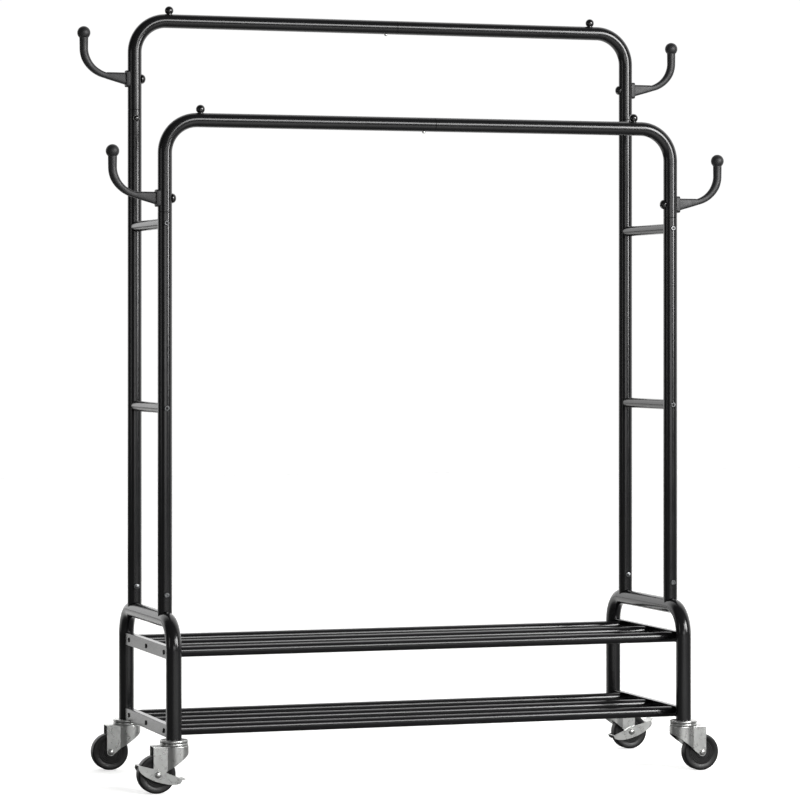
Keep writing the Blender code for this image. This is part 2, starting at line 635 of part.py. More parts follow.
def make_caster_axle(depth, side, axle, braked, zinc):
    """The axle bolt: a domed head at the front and a nut at the back."""
    lever = GAP + LEVER_SHEET if braked else 0.0
    face = FORK_HALF_W + lever + GAP
    profile = (*dome(AXLE_HEAD_R, AXLE_HEAD_H, face), (AXLE_R, -face), (AXLE_R, face),
               (AXLE_HEAD_R, face), (AXLE_HEAD_R, face + AXLE_NUT_H), (0, face + AXLE_NUT_H))
    name = "caster_axle_%s_%s" % (depth, side)
    return turned(name, profile, axle, Y_AXIS, zinc, sides=DOME_SIDES)


def make_brake_lever(depth, side, axle, tilt, zinc):
    """A rocking lever that straddles the fork. Its pedal points to +X, and a sheet crosses over the
    tread at each end. Its sides are boat-shaped plates outside the fork."""
    name = "brake_lever_%s_%s" % (depth, side)
    lean = math.radians(tilt)
    along = X_AXIS * math.cos(lean) + Z_AXIS * math.sin(lean)
    across = Z_AXIS * math.cos(lean) - X_AXIS * math.sin(lean)
    span = 2 * (FORK_HALF_W + GAP + LEVER_SHEET)
    rim = LEVER_END_HEIGHT / 2
    belly = []
    for step in range(LEVER_BELLY_STEPS + 1):
        angle = math.pi * step / LEVER_BELLY_STEPS
        end = LEVER_HEEL if angle < math.pi / 2 else LEVER_TOE
        belly.append((-end * math.cos(angle), rim - (LEVER_BELLY + rim) * math.sin(angle)))
    outline = [*belly, (LEVER_TOE, LEVER_TOE_TOP),
               (LEVER_TOE * LEVER_SHOULDER, LEVER_TOE_TOP + LEVER_SHOULDER_RISE), (0, LEVER_CROWN),
               (-LEVER_HEEL * LEVER_SHOULDER, LEVER_HEEL_TOP + LEVER_SHOULDER_RISE),
               (-LEVER_HEEL, LEVER_HEEL_TOP)]
    lever = prism(name, outline, axle, along, across, span, zinc)
    tread = WHEEL_R / math.cos(math.pi / WHEEL_SIDES) + LEVER_TREAD_GAP
    below = -2 * LEVER_BELLY
    above = 2 * LEVER_CROWN
    far = 2 * LEVER_TOE
    toe_under = LEVER_TOE_TOP - LEVER_SHEET
    heel_under = LEVER_HEEL_TOP - LEVER_SHEET
    slot_outline = ((-far, below), (far, below), (far, toe_under), (tread, toe_under), (tread, above),
                    (-tread, above), (-tread, heel_under), (-far, heel_under))
    slot = prism(name + "_slot", slot_outline, axle, along, across, 2 * (FORK_HALF_W + GAP), zinc)
    boolean(lever, slot, "DIFFERENCE")
    low = toe_under + GAP
    high = LEVER_TOE_TOP - GAP
    root = LEVER_TOE - LEVER_PEDAL_ROOT
    tip = LEVER_TOE + LEVER_PEDAL
    curl = LEVER_TOE_TOP + LEVER_SHEET
    pedal_outline = ((root, low), (LEVER_TOE + LEVER_SHEET, low), (tip, curl),
                     (tip - LEVER_SHEET / 2, curl + LEVER_SHEET), (LEVER_TOE + LEVER_SHEET / 2, high),
                     (root, high))
    pedal = prism(name + "_pedal", pedal_outline, axle, along, across, 2 * FORK_HALF_W, zinc)
    boolean(lever, pedal, "UNION")
    drill(lever, axle, Y_AXIS, AXLE_R + GAP, span, zinc)
    return lever


def build():
    clear_scene()
    black_coat = make_material("black_powder_coat", (0.02, 0.02, 0.022), 0.35, 0.0)
    plastic = make_material("dark_plastic", (0.04, 0.04, 0.042), 0.6, 0.0)
    gloss = make_material("gloss_black_plastic", (0.01, 0.01, 0.01), 0.15, 0.0)
    zinc = make_material("zinc_plated_steel", (0.45, 0.45, 0.44), 0.35, 1.0)
    rubber = make_material("black_wheel_plastic", (0.015, 0.015, 0.015), 0.5, 0.0)

    heights = {"front": (FRONT_RAIL_Z, FRONT_HOOK_Z), "rear": (REAR_RAIL_Z, REAR_HOOK_Z)}
    for side, sign in SIDES:
        make_base_frame(side, sign, black_coat)
        for level, z in (("upper", UPPER_RUNG_Z), ("lower", LOWER_RUNG_Z)):
            make_rung(level, z, side, sign, black_coat)
        for tier, z in (("upper", UPPER_SHELF_Z), ("lower", LOWER_SHELF_Z)):
            make_shelf_rail(tier, z, side, sign, black_coat)
        for depth, direction in DEPTHS:
            rail_z, hook_z = heights[depth]
            make_upright(depth, direction, side, sign, rail_z - TOP_LEG_LENGTH, black_coat)
            make_top_rail(depth, direction, side, sign, rail_z, hook_z, black_coat)
            make_base_bolt(depth, direction, side, sign, zinc)
            make_hook(depth, direction, side, sign, hook_z, plastic)
            make_hook_bolt(depth, direction, side, sign, hook_z, gloss)
            make_stop_knob(depth, direction, side, rail_z, gloss)
            leg = Vector((sign * LEG_X, direction * LEG_Y, LEG_FOOT_Z))
            outward = X_AXIS * sign
            axle = Vector((leg.x, leg.y, WHEEL_R)) + outward * CASTER_TRAIL
            tilt = BRAKE_TILTS.get((depth, side))
            make_caster_stem(depth, side, leg, zinc)
            make_caster_fork(depth, side, leg, outward, zinc)
            make_caster_wheel(depth, side, axle, rubber)
            make_caster_axle(depth, side, axle, tilt is not None, zinc)
            if tilt is not None:
                make_brake_lever(depth, side, axle, tilt, zinc)
    for depth, direction in DEPTHS:
        make_rail_screw(depth, direction, heights[depth][0], zinc)
    for tier, z in (("upper", UPPER_SHELF_Z), ("lower", LOWER_SHELF_Z)):
        for place, row in (("front", -1), ("middle", 0), ("rear", 1)):
            make_shelf_rod(tier, z, place, row * ROD_PITCH, black_coat)


build()
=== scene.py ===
"""Looks of a rolling clothes rack: smooth tubes, hooks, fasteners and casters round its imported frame.

Left and right are the -X and +X sides, and the front is the -Y side. Metres, +Z up.
"""
import math

import bmesh
import bpy
from mathutils import Matrix, Vector


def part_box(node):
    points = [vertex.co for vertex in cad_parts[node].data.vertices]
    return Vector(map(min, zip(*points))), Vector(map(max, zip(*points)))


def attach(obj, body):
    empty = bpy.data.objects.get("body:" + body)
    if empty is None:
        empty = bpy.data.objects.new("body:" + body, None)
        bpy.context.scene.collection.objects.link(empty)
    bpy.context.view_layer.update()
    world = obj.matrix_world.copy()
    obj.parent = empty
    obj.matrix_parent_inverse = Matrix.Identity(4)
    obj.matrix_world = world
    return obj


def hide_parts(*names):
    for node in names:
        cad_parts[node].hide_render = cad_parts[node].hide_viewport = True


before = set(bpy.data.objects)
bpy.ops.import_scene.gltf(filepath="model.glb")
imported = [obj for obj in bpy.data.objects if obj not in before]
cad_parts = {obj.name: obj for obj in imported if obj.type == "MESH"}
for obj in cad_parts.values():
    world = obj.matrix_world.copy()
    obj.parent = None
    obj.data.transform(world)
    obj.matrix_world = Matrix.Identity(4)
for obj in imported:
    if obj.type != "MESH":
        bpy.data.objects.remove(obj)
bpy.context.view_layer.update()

MM = 0.001
X_AXIS = Vector((1, 0, 0))
Y_AXIS = Vector((0, 1, 0))
Z_AXIS = Vector((0, 0, 1))
SIDES = (("left", -1), ("right", 1))
DEPTHS = (("front", -1), ("rear", 1))
TIERS = ("upper", "lower")
SHELF_ROWS = ("front", "middle", "rear")
PEDAL_TILTS = {("front", "left"): -20.0, ("rear", "right"): 18.0}


def centre(node):
    low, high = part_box(node)
    return (low + high) / 2


def half_size(node, axis):
    low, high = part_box(node)
    return (high[axis] - low[axis]) / 2


# The frame's tubes have twelve flat sides. A round tube of the same size passes through their corners.
FRAME_TUBE_SIDES = 12
CORNER_TO_FLAT = math.cos(math.pi / FRAME_TUBE_SIDES)

# Tubes.
LEG_R = half_size("base_frame_left", 0) / CORNER_TO_FLAT
UPRIGHT_R = half_size("upright_front_left", 0) / CORNER_TO_FLAT
RUNG_R = half_size("rung_upper_left", 2) / CORNER_TO_FLAT
ROD_R = half_size("shelf_rod_upper_front", 2) / CORNER_TO_FLAT
TUBE_WALL = 1.4 * MM
ROD_WALL = 1.0 * MM
MOUTH_ROUND = 0.5 * MM
LEG_BEND_R = 55.7 * MM
RAIL_BEND_R = 66.0 * MM
BEND_STEPS = 28
ROUND_STEPS = 48
SEAM = 0.3 * MM
FIT = 0.3 * MM
CREASE_ANGLE = math.radians(40.0)
EDGE_ANGLE = math.radians(55.0)

# Shelf strips.
STRIP_SHEET = 1.8 * MM
STRIP_BEND = 2.4 * MM

# Fasteners.
BASE_BOLT_RISE = 48.5 * MM
SOCKET_HEAD_R = 5.4 * MM
SOCKET_HEAD_H = 2.6 * MM
SOCKET_R = 3.0 * MM
SOCKET_DEPTH = 1.7 * MM
# The thickness of a black disc in each screw socket, painted shade.
SOCKET_FLOOR_H = 0.4 * MM
RUNG_SCREW_SINK = 0.3 * MM
ROD_SCREW_R = 4.8 * MM
ROD_SCREW_H = 2.6 * MM
ROD_SCREW_EDGE = 1.5 * MM
JOINT_BOLT_DROP = 18.0 * MM
JOINT_BOLT_R = 5.6 * MM
JOINT_BOLT_H = 3.2 * MM
JOINT_BOLT_EDGE = 0.6 * MM
WASHER_R = JOINT_BOLT_R + 1.4 * MM
WASHER_H = 0.9 * MM
BOLT_R = 3.0 * MM
NUT_R = 5.8 * MM
NUT_H = 4.5 * MM
NUT_CHAMFER = 0.14
THREAD_PITCH = 1.0 * MM
THREAD_TURNS = 5
THREAD_DEPTH = 0.35 * MM
CAP_RIM_H = 1.4 * MM
CAP_SINK = 0.6 * MM
KNOB_SINK = 1.5 * MM

# Coat hooks: heights are from the bolt, and reaches are from the upright's axis.
HOOK_FLANGE_REACH = 19.1 * MM
HOOK_FLANGE_HALF_H = 17.0 * MM
HOOK_FLANGE_HALF_W = 9.5 * MM
HOOK_FLANGE_CORNER = 5.0 * MM
HOOK_FLANGE_EDGE = 1.0 * MM
HOOK_ARM_TOP = 12.6 * MM
HOOK_ARM_ROOT_LOW = -12.4 * MM
HOOK_ARM_ROOT_HALF_W = 6.3 * MM
HOOK_NECK_REACH = 61.0 * MM
HOOK_NECK_LOW = -0.6 * MM
HOOK_NECK_R = 6.2 * MM
HOOK_STEM_REACH = 106.0 * MM
HOOK_STEM_R = 8.7 * MM
HOOK_SWEEP_REACH = 44.0 * MM
HOOK_SWEEP_Z = 60.0 * MM
HOOK_SWEEP_HALF_H = 56.0 * MM
HOOK_BALL_Z = 91.5 * MM
HOOK_ROOT_DEPTH = 2.0 * MM
HOOK_ARM_SQUARE = 4.2
HOOK_NECK_SQUARE = 2.8
HOOK_STEM_SQUARE = 2.0

# Casters: reaches are from the swivel axis, away from the rack's middle.
TRAIL = 36.0 * MM
FORK_DISC_R = 25.0 * MM
FORK_DISC_BACK = 4.0 * MM
FORK_TONGUE_END = 44.5 * MM
FORK_HALF_W = 14.9 * MM
FORK_SHEET = 1.9 * MM
FORK_EDGE = 1.8 * MM
FORK_SKIRT_DROP = 14.5 * MM
FORK_CORNER_REACH = 15.0 * MM
FORK_CORNER_RISE = 7.5 * MM
FORK_BOSS_R = 8.0 * MM
FORK_NOSE_RISE = 22.0 * MM
FORK_CORNER_ROUND = 3.0 * MM
PRESSED_EDGE = 0.35 * MM
OVERCUT = 5.0 * MM
RACE_H = 5.2 * MM
RACE_LIP = 2.0 * MM
RACE_STEPS = 72
KINGPIN_R = 5.0 * MM
KINGPIN_HEAD_R = 8.5 * MM
KINGPIN_HEAD_H = 3.0 * MM
PLUG_LENGTH = 30.0 * MM
PLUG_PLAY = 0.5 * MM
WHEEL_HUB_R = 12.0 * MM
WHEEL_WEB_DEPTH = 1.6 * MM
WHEEL_GROOVES = (17.0 * MM, 20.5 * MM, 24.0 * MM)
WHEEL_GROOVE_HALF_W = 0.9 * MM
WHEEL_GROOVE_DEPTH = 0.7 * MM
WHEEL_RIM_R = 26.0 * MM
WHEEL_RIM_DEPTH = 0.6 * MM
WHEEL_SHOULDER = 3.4 * MM
WHEEL_PLAY = 0.45 * MM
AXLE_R = 4.0 * MM
AXLE_HEAD_R = 6.4 * MM
AXLE_HEAD_H = 4.2 * MM
AXLE_NUT_H = 4.0 * MM

# Brake levers: places are from the axle, towards the pedal.
LEVER_SHEET = 1.6 * MM
LEVER_HEEL = 41.5 * MM
LEVER_TOE = 50.0 * MM
LEVER_PEDAL = 6.5 * MM
LEVER_BELLY = 13.2 * MM
LEVER_HEEL_TOP = 6.0 * MM
LEVER_TOE_TOP = 7.5 * MM
LEVER_CROWN = 10.5 * MM
LEVER_END = 4.0 * MM
LEVER_TREAD_GAP = 1.6 * MM
LEVER_CROWN_ROUND = 30.0 * MM
PEDAL_ROOT = 3.0 * MM
PEDAL_ROUND = 3.0 * MM

# Studio: the camera, the floor and the lamps, each as name, place, aim, width, height and brightness.
CAMERA_PLACE = (-2.2448, -6.7092, 0.9015)
CAMERA_HEADING = math.radians(-18.425)
CAMERA_LENS_MM = 154.84
CAMERA_SENSOR_MM = 36.0
CAMERA_SHIFT = -0.0861
CAMERA_REACH = 100.0
FLOOR_REACH = 14.0
FLOOR_DROP = 0.05 * MM
SWEEP_HEADING = (0.485, 0.875, 0.0)
LAMPS = (
    ("strip_softbox", (2.4, -3.2, 2.0), (0.0, 0.0, 1.6), 0.9, 2.2, 20.0),
    ("high_softbox", (1.7, -5.0, 2.7), (0.0, 0.0, 0.8), 3.2, 1.6, 12.0),
    ("front_softbox", (-1.0, -7.6, 1.0), (0.0, 0.0, 1.0), 4.6, 1.2, 3.4),
    ("left_softbox", (-4.9, -1.0, 1.3), (0.0, 0.0, 1.0), 0.9, 1.6, 2.0),
)


def hex_linear(code):
    """An sRGB colour such as 1a2b3c as linear RGBA."""
    made = []
    for start in (0, 2, 4):
        value = int(code[start:start + 2], 16) / 255
        made.append(value / 12.92 if value <= 0.04045 else ((value + 0.055) / 1.055) ** 2.4)
    return (*made, 1.0)


def add_node(tree, kind, values=None, links=None, **settings):
    """A node with its settings, the constants of its inputs, and the sockets that feed its inputs."""
    node = tree.nodes.new(kind)
    for name, value in settings.items():
        setattr(node, name, value)
    for key, value in (values or {}).items():
        node.inputs[key].default_value = value
    for key, socket in (links or {}).items():
        tree.links.new(socket, node.inputs[key])
    return node


def new_material(name, colour, roughness, metallic=0.0, ior=1.5):
    material = bpy.data.materials.new(name)
    material.use_nodes = True
    shader = material.node_tree.nodes["Principled BSDF"]
    shader.inputs["Base Color"].default_value = hex_linear(colour)
    shader.inputs["Roughness"].default_value = roughness
    shader.inputs["Metallic"].default_value = metallic
    if metallic < 0.5:
        shader.inputs["IOR"].default_value = ior
    return material, material.node_tree, shader


def vary_gloss(tree, shader, place, size, low, high):
    """Roughness that wanders from low to high over patches of a size."""
    patches = add_node(tree, "ShaderNodeTexNoise", {"Scale": 1 / size, "Detail": 3.0}, {"Vector": place})
    amount = add_node(tree, "ShaderNodeMapRange",
                      {"From Min": 0.3, "From Max": 0.7, "To Min": low, "To Max": high},
                      {"Value": patches.outputs["Fac"]})
    tree.links.new(amount.outputs["Result"], shader.inputs["Roughness"])


def vary_colour(tree, shader, place, size, first, second):
    """Colour that wanders between two close tones over patches of a size."""
    patches = add_node(tree, "ShaderNodeTexNoise", {"Scale": 1 / size, "Detail": 4.0}, {"Vector": place})
    tones = add_node(tree, "ShaderNodeMix", {"A": hex_linear(first), "B": hex_linear(second)},
                     {"Factor": patches.outputs["Fac"]}, data_type="RGBA")
    tree.links.new(tones.outputs["Result"], shader.inputs["Base Color"])


def add_grain(tree, shader, place, size, depth, strength, detail=2.0):
    """A fine relief: grains of a size and a depth."""
    grain = add_node(tree, "ShaderNodeTexNoise", {"Scale": 1 / size, "Detail": detail}, {"Vector": place})
    relief = add_node(tree, "ShaderNodeBump", {"Strength": strength, "Distance": depth},
                      {"Height": grain.outputs["Fac"]})
    tree.links.new(relief.outputs["Normal"], shader.inputs["Normal"])


def powder_coated_steel():
    """Black polyester powder, sprayed on steel tube and baked. The film is semi-gloss, so lamps show
    as soft bands along a tube, and its faint orange peel of about 3 mm ripples their edges."""
    material, tree, shader = new_material("black_powder_coated_steel", "131314", 0.2, ior=1.45)
    place = add_node(tree, "ShaderNodeTexCoord").outputs["Object"]
    vary_gloss(tree, shader, place, 60 * MM, 0.17, 0.22)
    vary_colour(tree, shader, place, 90 * MM, "111112", "161617")
    add_grain(tree, shader, place, 3.0 * MM, 0.03 * MM, 0.04)
    return material


def moulded_nylon():
    """Glass-filled nylon, moulded in a spark-eroded cavity. The satin grain, really 0.3 mm and drawn
    at 0.8 mm so that it shows, makes the dark grey hooks look dry beside the coated tubes."""
    material, tree, shader = new_material("dark_grey_moulded_nylon", "141415", 0.5)
    place = add_node(tree, "ShaderNodeTexCoord").outputs["Object"]
    vary_gloss(tree, shader, place, 14 * MM, 0.46, 0.56)
    vary_colour(tree, shader, place, 30 * MM, "121213", "18181a")
    add_grain(tree, shader, place, 0.8 * MM, 0.05 * MM, 0.25)
    return material


def polished_phenolic():
    """Phenolic resin, compression moulded and polished. Near black with a wet shine, and light
    handling marks that break up its small bright highlights."""
    material, tree, shader = new_material("polished_black_phenolic", "0c0c0c", 0.12, ior=1.6)
    place = add_node(tree, "ShaderNodeTexCoord").outputs["Object"]
    vary_gloss(tree, shader, place, 5 * MM, 0.08, 0.18)
    vary_colour(tree, shader, place, 12 * MM, "0b0b0b", "101010")
    return material


def zinc_plated_steel():
    """Pressed steel with a bright zinc plating. Mid grey metal with cloudy patches a few
    millimetres wide and a fine pickled grain, so its highlights are broad and soft."""
    material, tree, shader = new_material("zinc_plated_pressed_steel", "c4c5c3", 0.3, metallic=1.0)
    place = add_node(tree, "ShaderNodeTexCoord").outputs["Object"]
    vary_gloss(tree, shader, place, 9 * MM, 0.24, 0.38)
    vary_colour(tree, shader, place, 16 * MM, "bcbebd", "cdcdca")
    add_grain(tree, shader, place, 0.7 * MM, 0.02 * MM, 0.12, detail=3.0)
    return material


def black_oxide_steel():
    """Heat-treated steel with an oiled black-oxide skin. Dark grey metal with cloudy patches, so the
    small screw heads show as dim rings on the black tubes."""
    material, tree, shader = new_material("black_oxide_steel", "626364", 0.34, metallic=1.0)
    place = add_node(tree, "ShaderNodeTexCoord").outputs["Object"]
    vary_gloss(tree, shader, place, 2 * MM, 0.28, 0.42)
    vary_colour(tree, shader, place, 3 * MM, "5a5b5c", "6c6d6e")
    return material


def moulded_polypropylene():
    """Solid black polypropylene wheels. Satin from the mould, with scuffs across the tread and dust
    that lifts the black a little in patches."""
    material, tree, shader = new_material("black_moulded_polypropylene", "0b0b0b", 0.42, ior=1.42)
    place = add_node(tree, "ShaderNodeTexCoord").outputs["Object"]
    vary_gloss(tree, shader, place, 6 * MM, 0.36, 0.52)
    vary_colour(tree, shader, place, 10 * MM, "090909", "121212")
    add_grain(tree, shader, place, 1.2 * MM, 0.05 * MM, 0.4)
    return material


def painted_floor():
    """A matt white studio floor, white and glowing evenly where the camera sees it. Elsewhere, where the
    tubes mirror it, it is painted dim grey. Behind the rack a painted glow stands in for an evenly
    bright sweep, and in front a painted patch of light stands where the front lamp would fall."""
    material, tree, shader = new_material("matt_white_floor", "f4f4f2", 0.7)
    place = add_node(tree, "ShaderNodeTexCoord").outputs["Object"]
    vary_gloss(tree, shader, place, 0.5, 0.65, 0.8)
    seen = add_node(tree, "ShaderNodeLightPath").outputs["Is Camera Ray"]
    axes = add_node(tree, "ShaderNodeSeparateXYZ", links={"Vector": place}).outputs
    # Painted glow: the floor behind the rack is painted white and made to glow.
    behind = add_node(tree, "ShaderNodeMapRange", {"From Min": 0.3, "From Max": 0.9},
                      {"Value": axes["Y"]}, interpolation_type="SMOOTHSTEP").outputs["Result"]
    inward = add_node(tree, "ShaderNodeMapRange", {"From Min": -2.4, "From Max": -1.5},
                      {"Value": axes["X"]}, interpolation_type="SMOOTHSTEP").outputs["Result"]
    sweep = add_node(tree, "ShaderNodeMath", links={0: behind, 1: inward},
                     operation="MULTIPLY").outputs["Value"]
    # Painted light: a patch in front of the rack is painted brighter and made to glow, standing in for
    # light from the front lamp.
    away = add_node(tree, "ShaderNodeVectorMath", {1: Vector((0.0, -2.4, 0.0))}, {0: place},
                    operation="DISTANCE").outputs["Value"]
    pool = add_node(tree, "ShaderNodeMapRange",
                    {"From Min": 2.0, "From Max": 0.7, "To Min": 0.0, "To Max": 0.55}, {"Value": away},
                    interpolation_type="SMOOTHSTEP").outputs["Result"]
    # Painted light: the stronger of the painted glow behind the rack and the painted patch in front.
    bright = add_node(tree, "ShaderNodeMath", links={0: sweep, 1: pool},
                      operation="MAXIMUM").outputs["Value"]
    # Full white and glow where the camera sees the floor, otherwise only as much as the painted light.
    lit = add_node(tree, "ShaderNodeMath", links={0: seen, 1: bright},
                   operation="MAXIMUM").outputs["Value"]
    # Painted dim grey where no light is painted, and white where it is; the emission below follows the
    # same share.
    paint = add_node(tree, "ShaderNodeMix", {"A": hex_linear("707070"), "B": hex_linear("f4f4f2")},
                     {"Factor": lit}, data_type="RGBA")
    glow = add_node(tree, "ShaderNodeMath", {1: 0.52}, {0: lit}, operation="MULTIPLY")
    tree.links.new(paint.outputs["Result"], shader.inputs["Base Color"])
    tree.links.new(glow.outputs["Value"], shader.inputs["Emission Strength"])
    shader.inputs["Emission Color"].default_value = hex_linear("ffffff")
    return material


COAT = powder_coated_steel()
NYLON = moulded_nylon()
PHENOLIC = polished_phenolic()
ZINC = zinc_plated_steel()
OXIDE = black_oxide_steel()
WHEEL = moulded_polypropylene()


def new_tree(name, inputs):
    """An empty geometry tree with named inputs; returns it, its input node and its output node."""
    tree = bpy.data.node_groups.new(name, "GeometryNodeTree")
    tree.interface.new_socket("Geometry", in_out="INPUT", socket_type="NodeSocketGeometry")
    for label, kind in inputs:
        tree.interface.new_socket(label, in_out="INPUT", socket_type=kind)
    tree.interface.new_socket("Geometry", in_out="OUTPUT", socket_type="NodeSocketGeometry")
    return tree, add_node(tree, "NodeGroupInput"), add_node(tree, "NodeGroupOutput")


def finish_tree(tree, entry, leave, geometry):
    """The end of every tree: real geometry, with its material."""
    real = add_node(tree, "GeometryNodeRealizeInstances", links={"Geometry": geometry})
    dressed = add_node(tree, "GeometryNodeSetMaterial",
                       links={"Geometry": real.outputs["Geometry"], "Material": entry.outputs["Material"]})
    tree.links.new(dressed.outputs["Geometry"], leave.inputs["Geometry"])
    return tree


def tube_tree():
    """Sweeps a round section along a path of edges."""
    tree, entry, leave = new_tree("swept_tube", (("Tube Radius", "NodeSocketFloat"),
                                                 ("Steps Round", "NodeSocketInt"),
                                                 ("Material", "NodeSocketMaterial")))
    path = add_node(tree, "GeometryNodeMeshToCurve", links={"Mesh": entry.outputs["Geometry"]})
    section = add_node(tree, "GeometryNodeCurvePrimitiveCircle",
                       links={"Radius": entry.outputs["Tube Radius"],
                              "Resolution": entry.outputs["Steps Round"]})
    skin = add_node(tree, "GeometryNodeCurveToMesh",
                    links={"Curve": path.outputs["Curve"], "Profile Curve": section.outputs["Curve"]})
    soft = add_node(tree, "GeometryNodeSetShadeSmooth", links={"Geometry": skin.outputs["Mesh"]})
    return finish_tree(tree, entry, leave, soft.outputs["Geometry"])


def fastener_tree():
    """Puts a copy of one fastener on each point, turned to the point's facing direction."""
    tree, entry, leave = new_tree("fasteners_on_points", (("Fastener", "NodeSocketObject"),
                                                          ("Size", "NodeSocketFloat"),
                                                          ("Material", "NodeSocketMaterial")))
    source = add_node(tree, "GeometryNodeObjectInfo", links={"Object": entry.outputs["Fastener"]})
    facing = add_node(tree, "GeometryNodeInputNamedAttribute", {"Name": "facing"},
                      data_type="FLOAT_VECTOR")
    turn = add_node(tree, "FunctionNodeAlignRotationToVector",
                    links={"Vector": facing.outputs["Attribute"]}, axis="Z")
    copies = add_node(tree, "GeometryNodeInstanceOnPoints",
                      links={"Points": entry.outputs["Geometry"],
                             "Instance": source.outputs["Geometry"],
                             "Rotation": turn.outputs["Rotation"],
                             "Scale": entry.outputs["Size"]})
    return finish_tree(tree, entry, leave, copies.outputs["Instances"])


TUBE_TREE = tube_tree()
FASTENER_TREE = fastener_tree()


def use_tree(item, tree, inputs):
    """Add a tree to a piece and set its inputs by their sockets' identifiers."""
    modifier = item.modifiers.new(tree.name, "NODES")
    modifier.node_group = tree
    for socket in tree.interface.items_tree:
        if socket.in_out == "INPUT" and socket.name in inputs:
            modifier[socket.identifier] = inputs[socket.name]


def freeze(item, creases=True):
    """Turn a piece and its modifiers into one plain mesh, and mark its creases anew unless the
    modifiers have already set how its edges shade."""
    graph = bpy.context.evaluated_depsgraph_get()
    solid = bpy.data.meshes.new_from_object(item.evaluated_get(graph))
    item.modifiers.clear()
    item.data = solid
    solid.name = item.name
    if creases:
        solid.shade_smooth()
        solid.set_sharp_from_angle(angle=CREASE_ANGLE)
    return item


def new_item(name, mesh, material=None):
    data = bpy.data.meshes.new(name)
    mesh.to_mesh(data)
    mesh.free()
    if material:
        data.materials.append(material)
    item = bpy.data.objects.new(name, data)
    bpy.context.collection.objects.link(item)
    return item


def solid_item(name, mesh, material):
    """A closed shell as a piece, faces outward, round sides smooth."""
    bmesh.ops.recalc_face_normals(mesh, faces=mesh.faces)
    item = new_item(name, mesh, material)
    item.data.shade_smooth()
    item.data.set_sharp_from_angle(angle=CREASE_ANGLE)
    return item


def bridge(mesh, first, second):
    """Join two rings of points; a ring of one point is a pole."""
    count = max(len(first), len(second))
    for index in range(count):
        step = (index + 1) % count
        if len(first) == 1:
            mesh.faces.new((first[0], second[index], second[step]))
        elif len(second) == 1:
            mesh.faces.new((first[index], second[0], first[step]))
        else:
            mesh.faces.new((first[index], second[index], second[step], first[step]))


def skin_rings(mesh, rings, looped=False):
    """Skin rings in order, with caps at the ends or back to the first ring."""
    pairs = list(zip(rings, rings[1:]))
    if looped:
        pairs.append((rings[-1], rings[0]))
    for first, second in pairs:
        bridge(mesh, first, second)
    if not looped:
        for ring in (rings[0], rings[-1]):
            if len(ring) > 1:
                mesh.faces.new(ring)


def eased(points, radius, steps=4, closed=False):
    """Round the corners of a flat outline to a radius, or to less where an edge is short."""
    made = []
    for index, corner in enumerate(points):
        if not closed and index in (0, len(points) - 1):
            made.append(corner)
            continue
        here = Vector(corner)
        back = Vector(points[index - 1]) - here
        ahead = Vector(points[(index + 1) % len(points)]) - here
        turn = math.pi - back.angle(ahead)
        if turn < math.radians(14):
            made.append(corner)
            continue
        reach = min(radius * math.tan(turn / 2), back.length * 0.45, ahead.length * 0.45)
        start = here + back.normalized() * reach
        end = here + ahead.normalized() * reach
        spare = 0.1 * MM
        if back.length * 0.5 > reach + spare:
            made.append(tuple(start + back.normalized() * spare))
        for step in range(steps + 1):
            share = step / steps
            made.append(tuple(start.lerp(here, share).lerp(here.lerp(end, share), share)))
        if ahead.length * 0.5 > reach + spare:
            made.append(tuple(end + ahead.normalized() * spare))
    return made


def arc(centre_u, centre_v, radius, start, stop, steps):
    """Points on a circle from one angle to another, in degrees."""
    points = []
    for step in range(steps + 1):
        angle = math.radians(start + (stop - start) * step / steps)
        points.append((centre_u + radius * math.cos(angle), centre_v + radius * math.sin(angle)))
    return points


def add_lathe(mesh, profile, origin, axis, steps=ROUND_STEPS, looped=False):
    """Turn a profile of (radius, distance along axis) round an axis."""
    across = X_AXIS if abs(axis.x) < 0.5 else Z_AXIS
    beside = axis.cross(across)
    rings = []
    for radius, along in profile:
        middle = origin + axis * along
        if radius < 1e-7:
            rings.append([mesh.verts.new(middle)])
            continue
        ring = []
        for index in range(steps):
            angle = (index + 0.5) * math.tau / steps
            spoke = across * math.cos(angle) + beside * math.sin(angle)
            ring.append(mesh.verts.new(middle + spoke * radius))
        rings.append(ring)
    skin_rings(mesh, rings, looped)


def lathe(name, profile, origin, axis, material, steps=ROUND_STEPS, looped=False):
    mesh = bmesh.new()
    add_lathe(mesh, profile, origin, axis, steps, looped)
    return solid_item(name, mesh, material)


def plate(name, outline, origin, along, across, thickness, material):
    """An outline of (distance along, distance across) points, given a thickness to both sides."""
    depth = along.cross(across)
    mesh = bmesh.new()
    rings = []
    for side in (-0.5, 0.5):
        rings.append([mesh.verts.new(origin + along * u + across * v + depth * thickness * side)
                      for u, v in outline])
    skin_rings(mesh, rings)
    return solid_item(name, mesh, material)


def cut_with(item, tool, operation="DIFFERENCE"):
    """Cut, join or trim a piece with a tool, which is used up."""
    modifier = item.modifiers.new(operation, "BOOLEAN")
    modifier.operation = operation
    modifier.object = tool
    modifier.solver = "EXACT"
    freeze(item)
    bpy.data.objects.remove(tool, do_unlink=True)


def soften(item, width, segments=2):
    """Round the creases of a finished piece, and keep its flat faces flat to the light."""
    modifier = item.modifiers.new("edge_round", "BEVEL")
    modifier.width = width
    modifier.segments = segments
    modifier.limit_method = "ANGLE"
    modifier.angle_limit = EDGE_ANGLE
    modifier.harden_normals = segments > 1
    return freeze(item, creases=segments == 1)


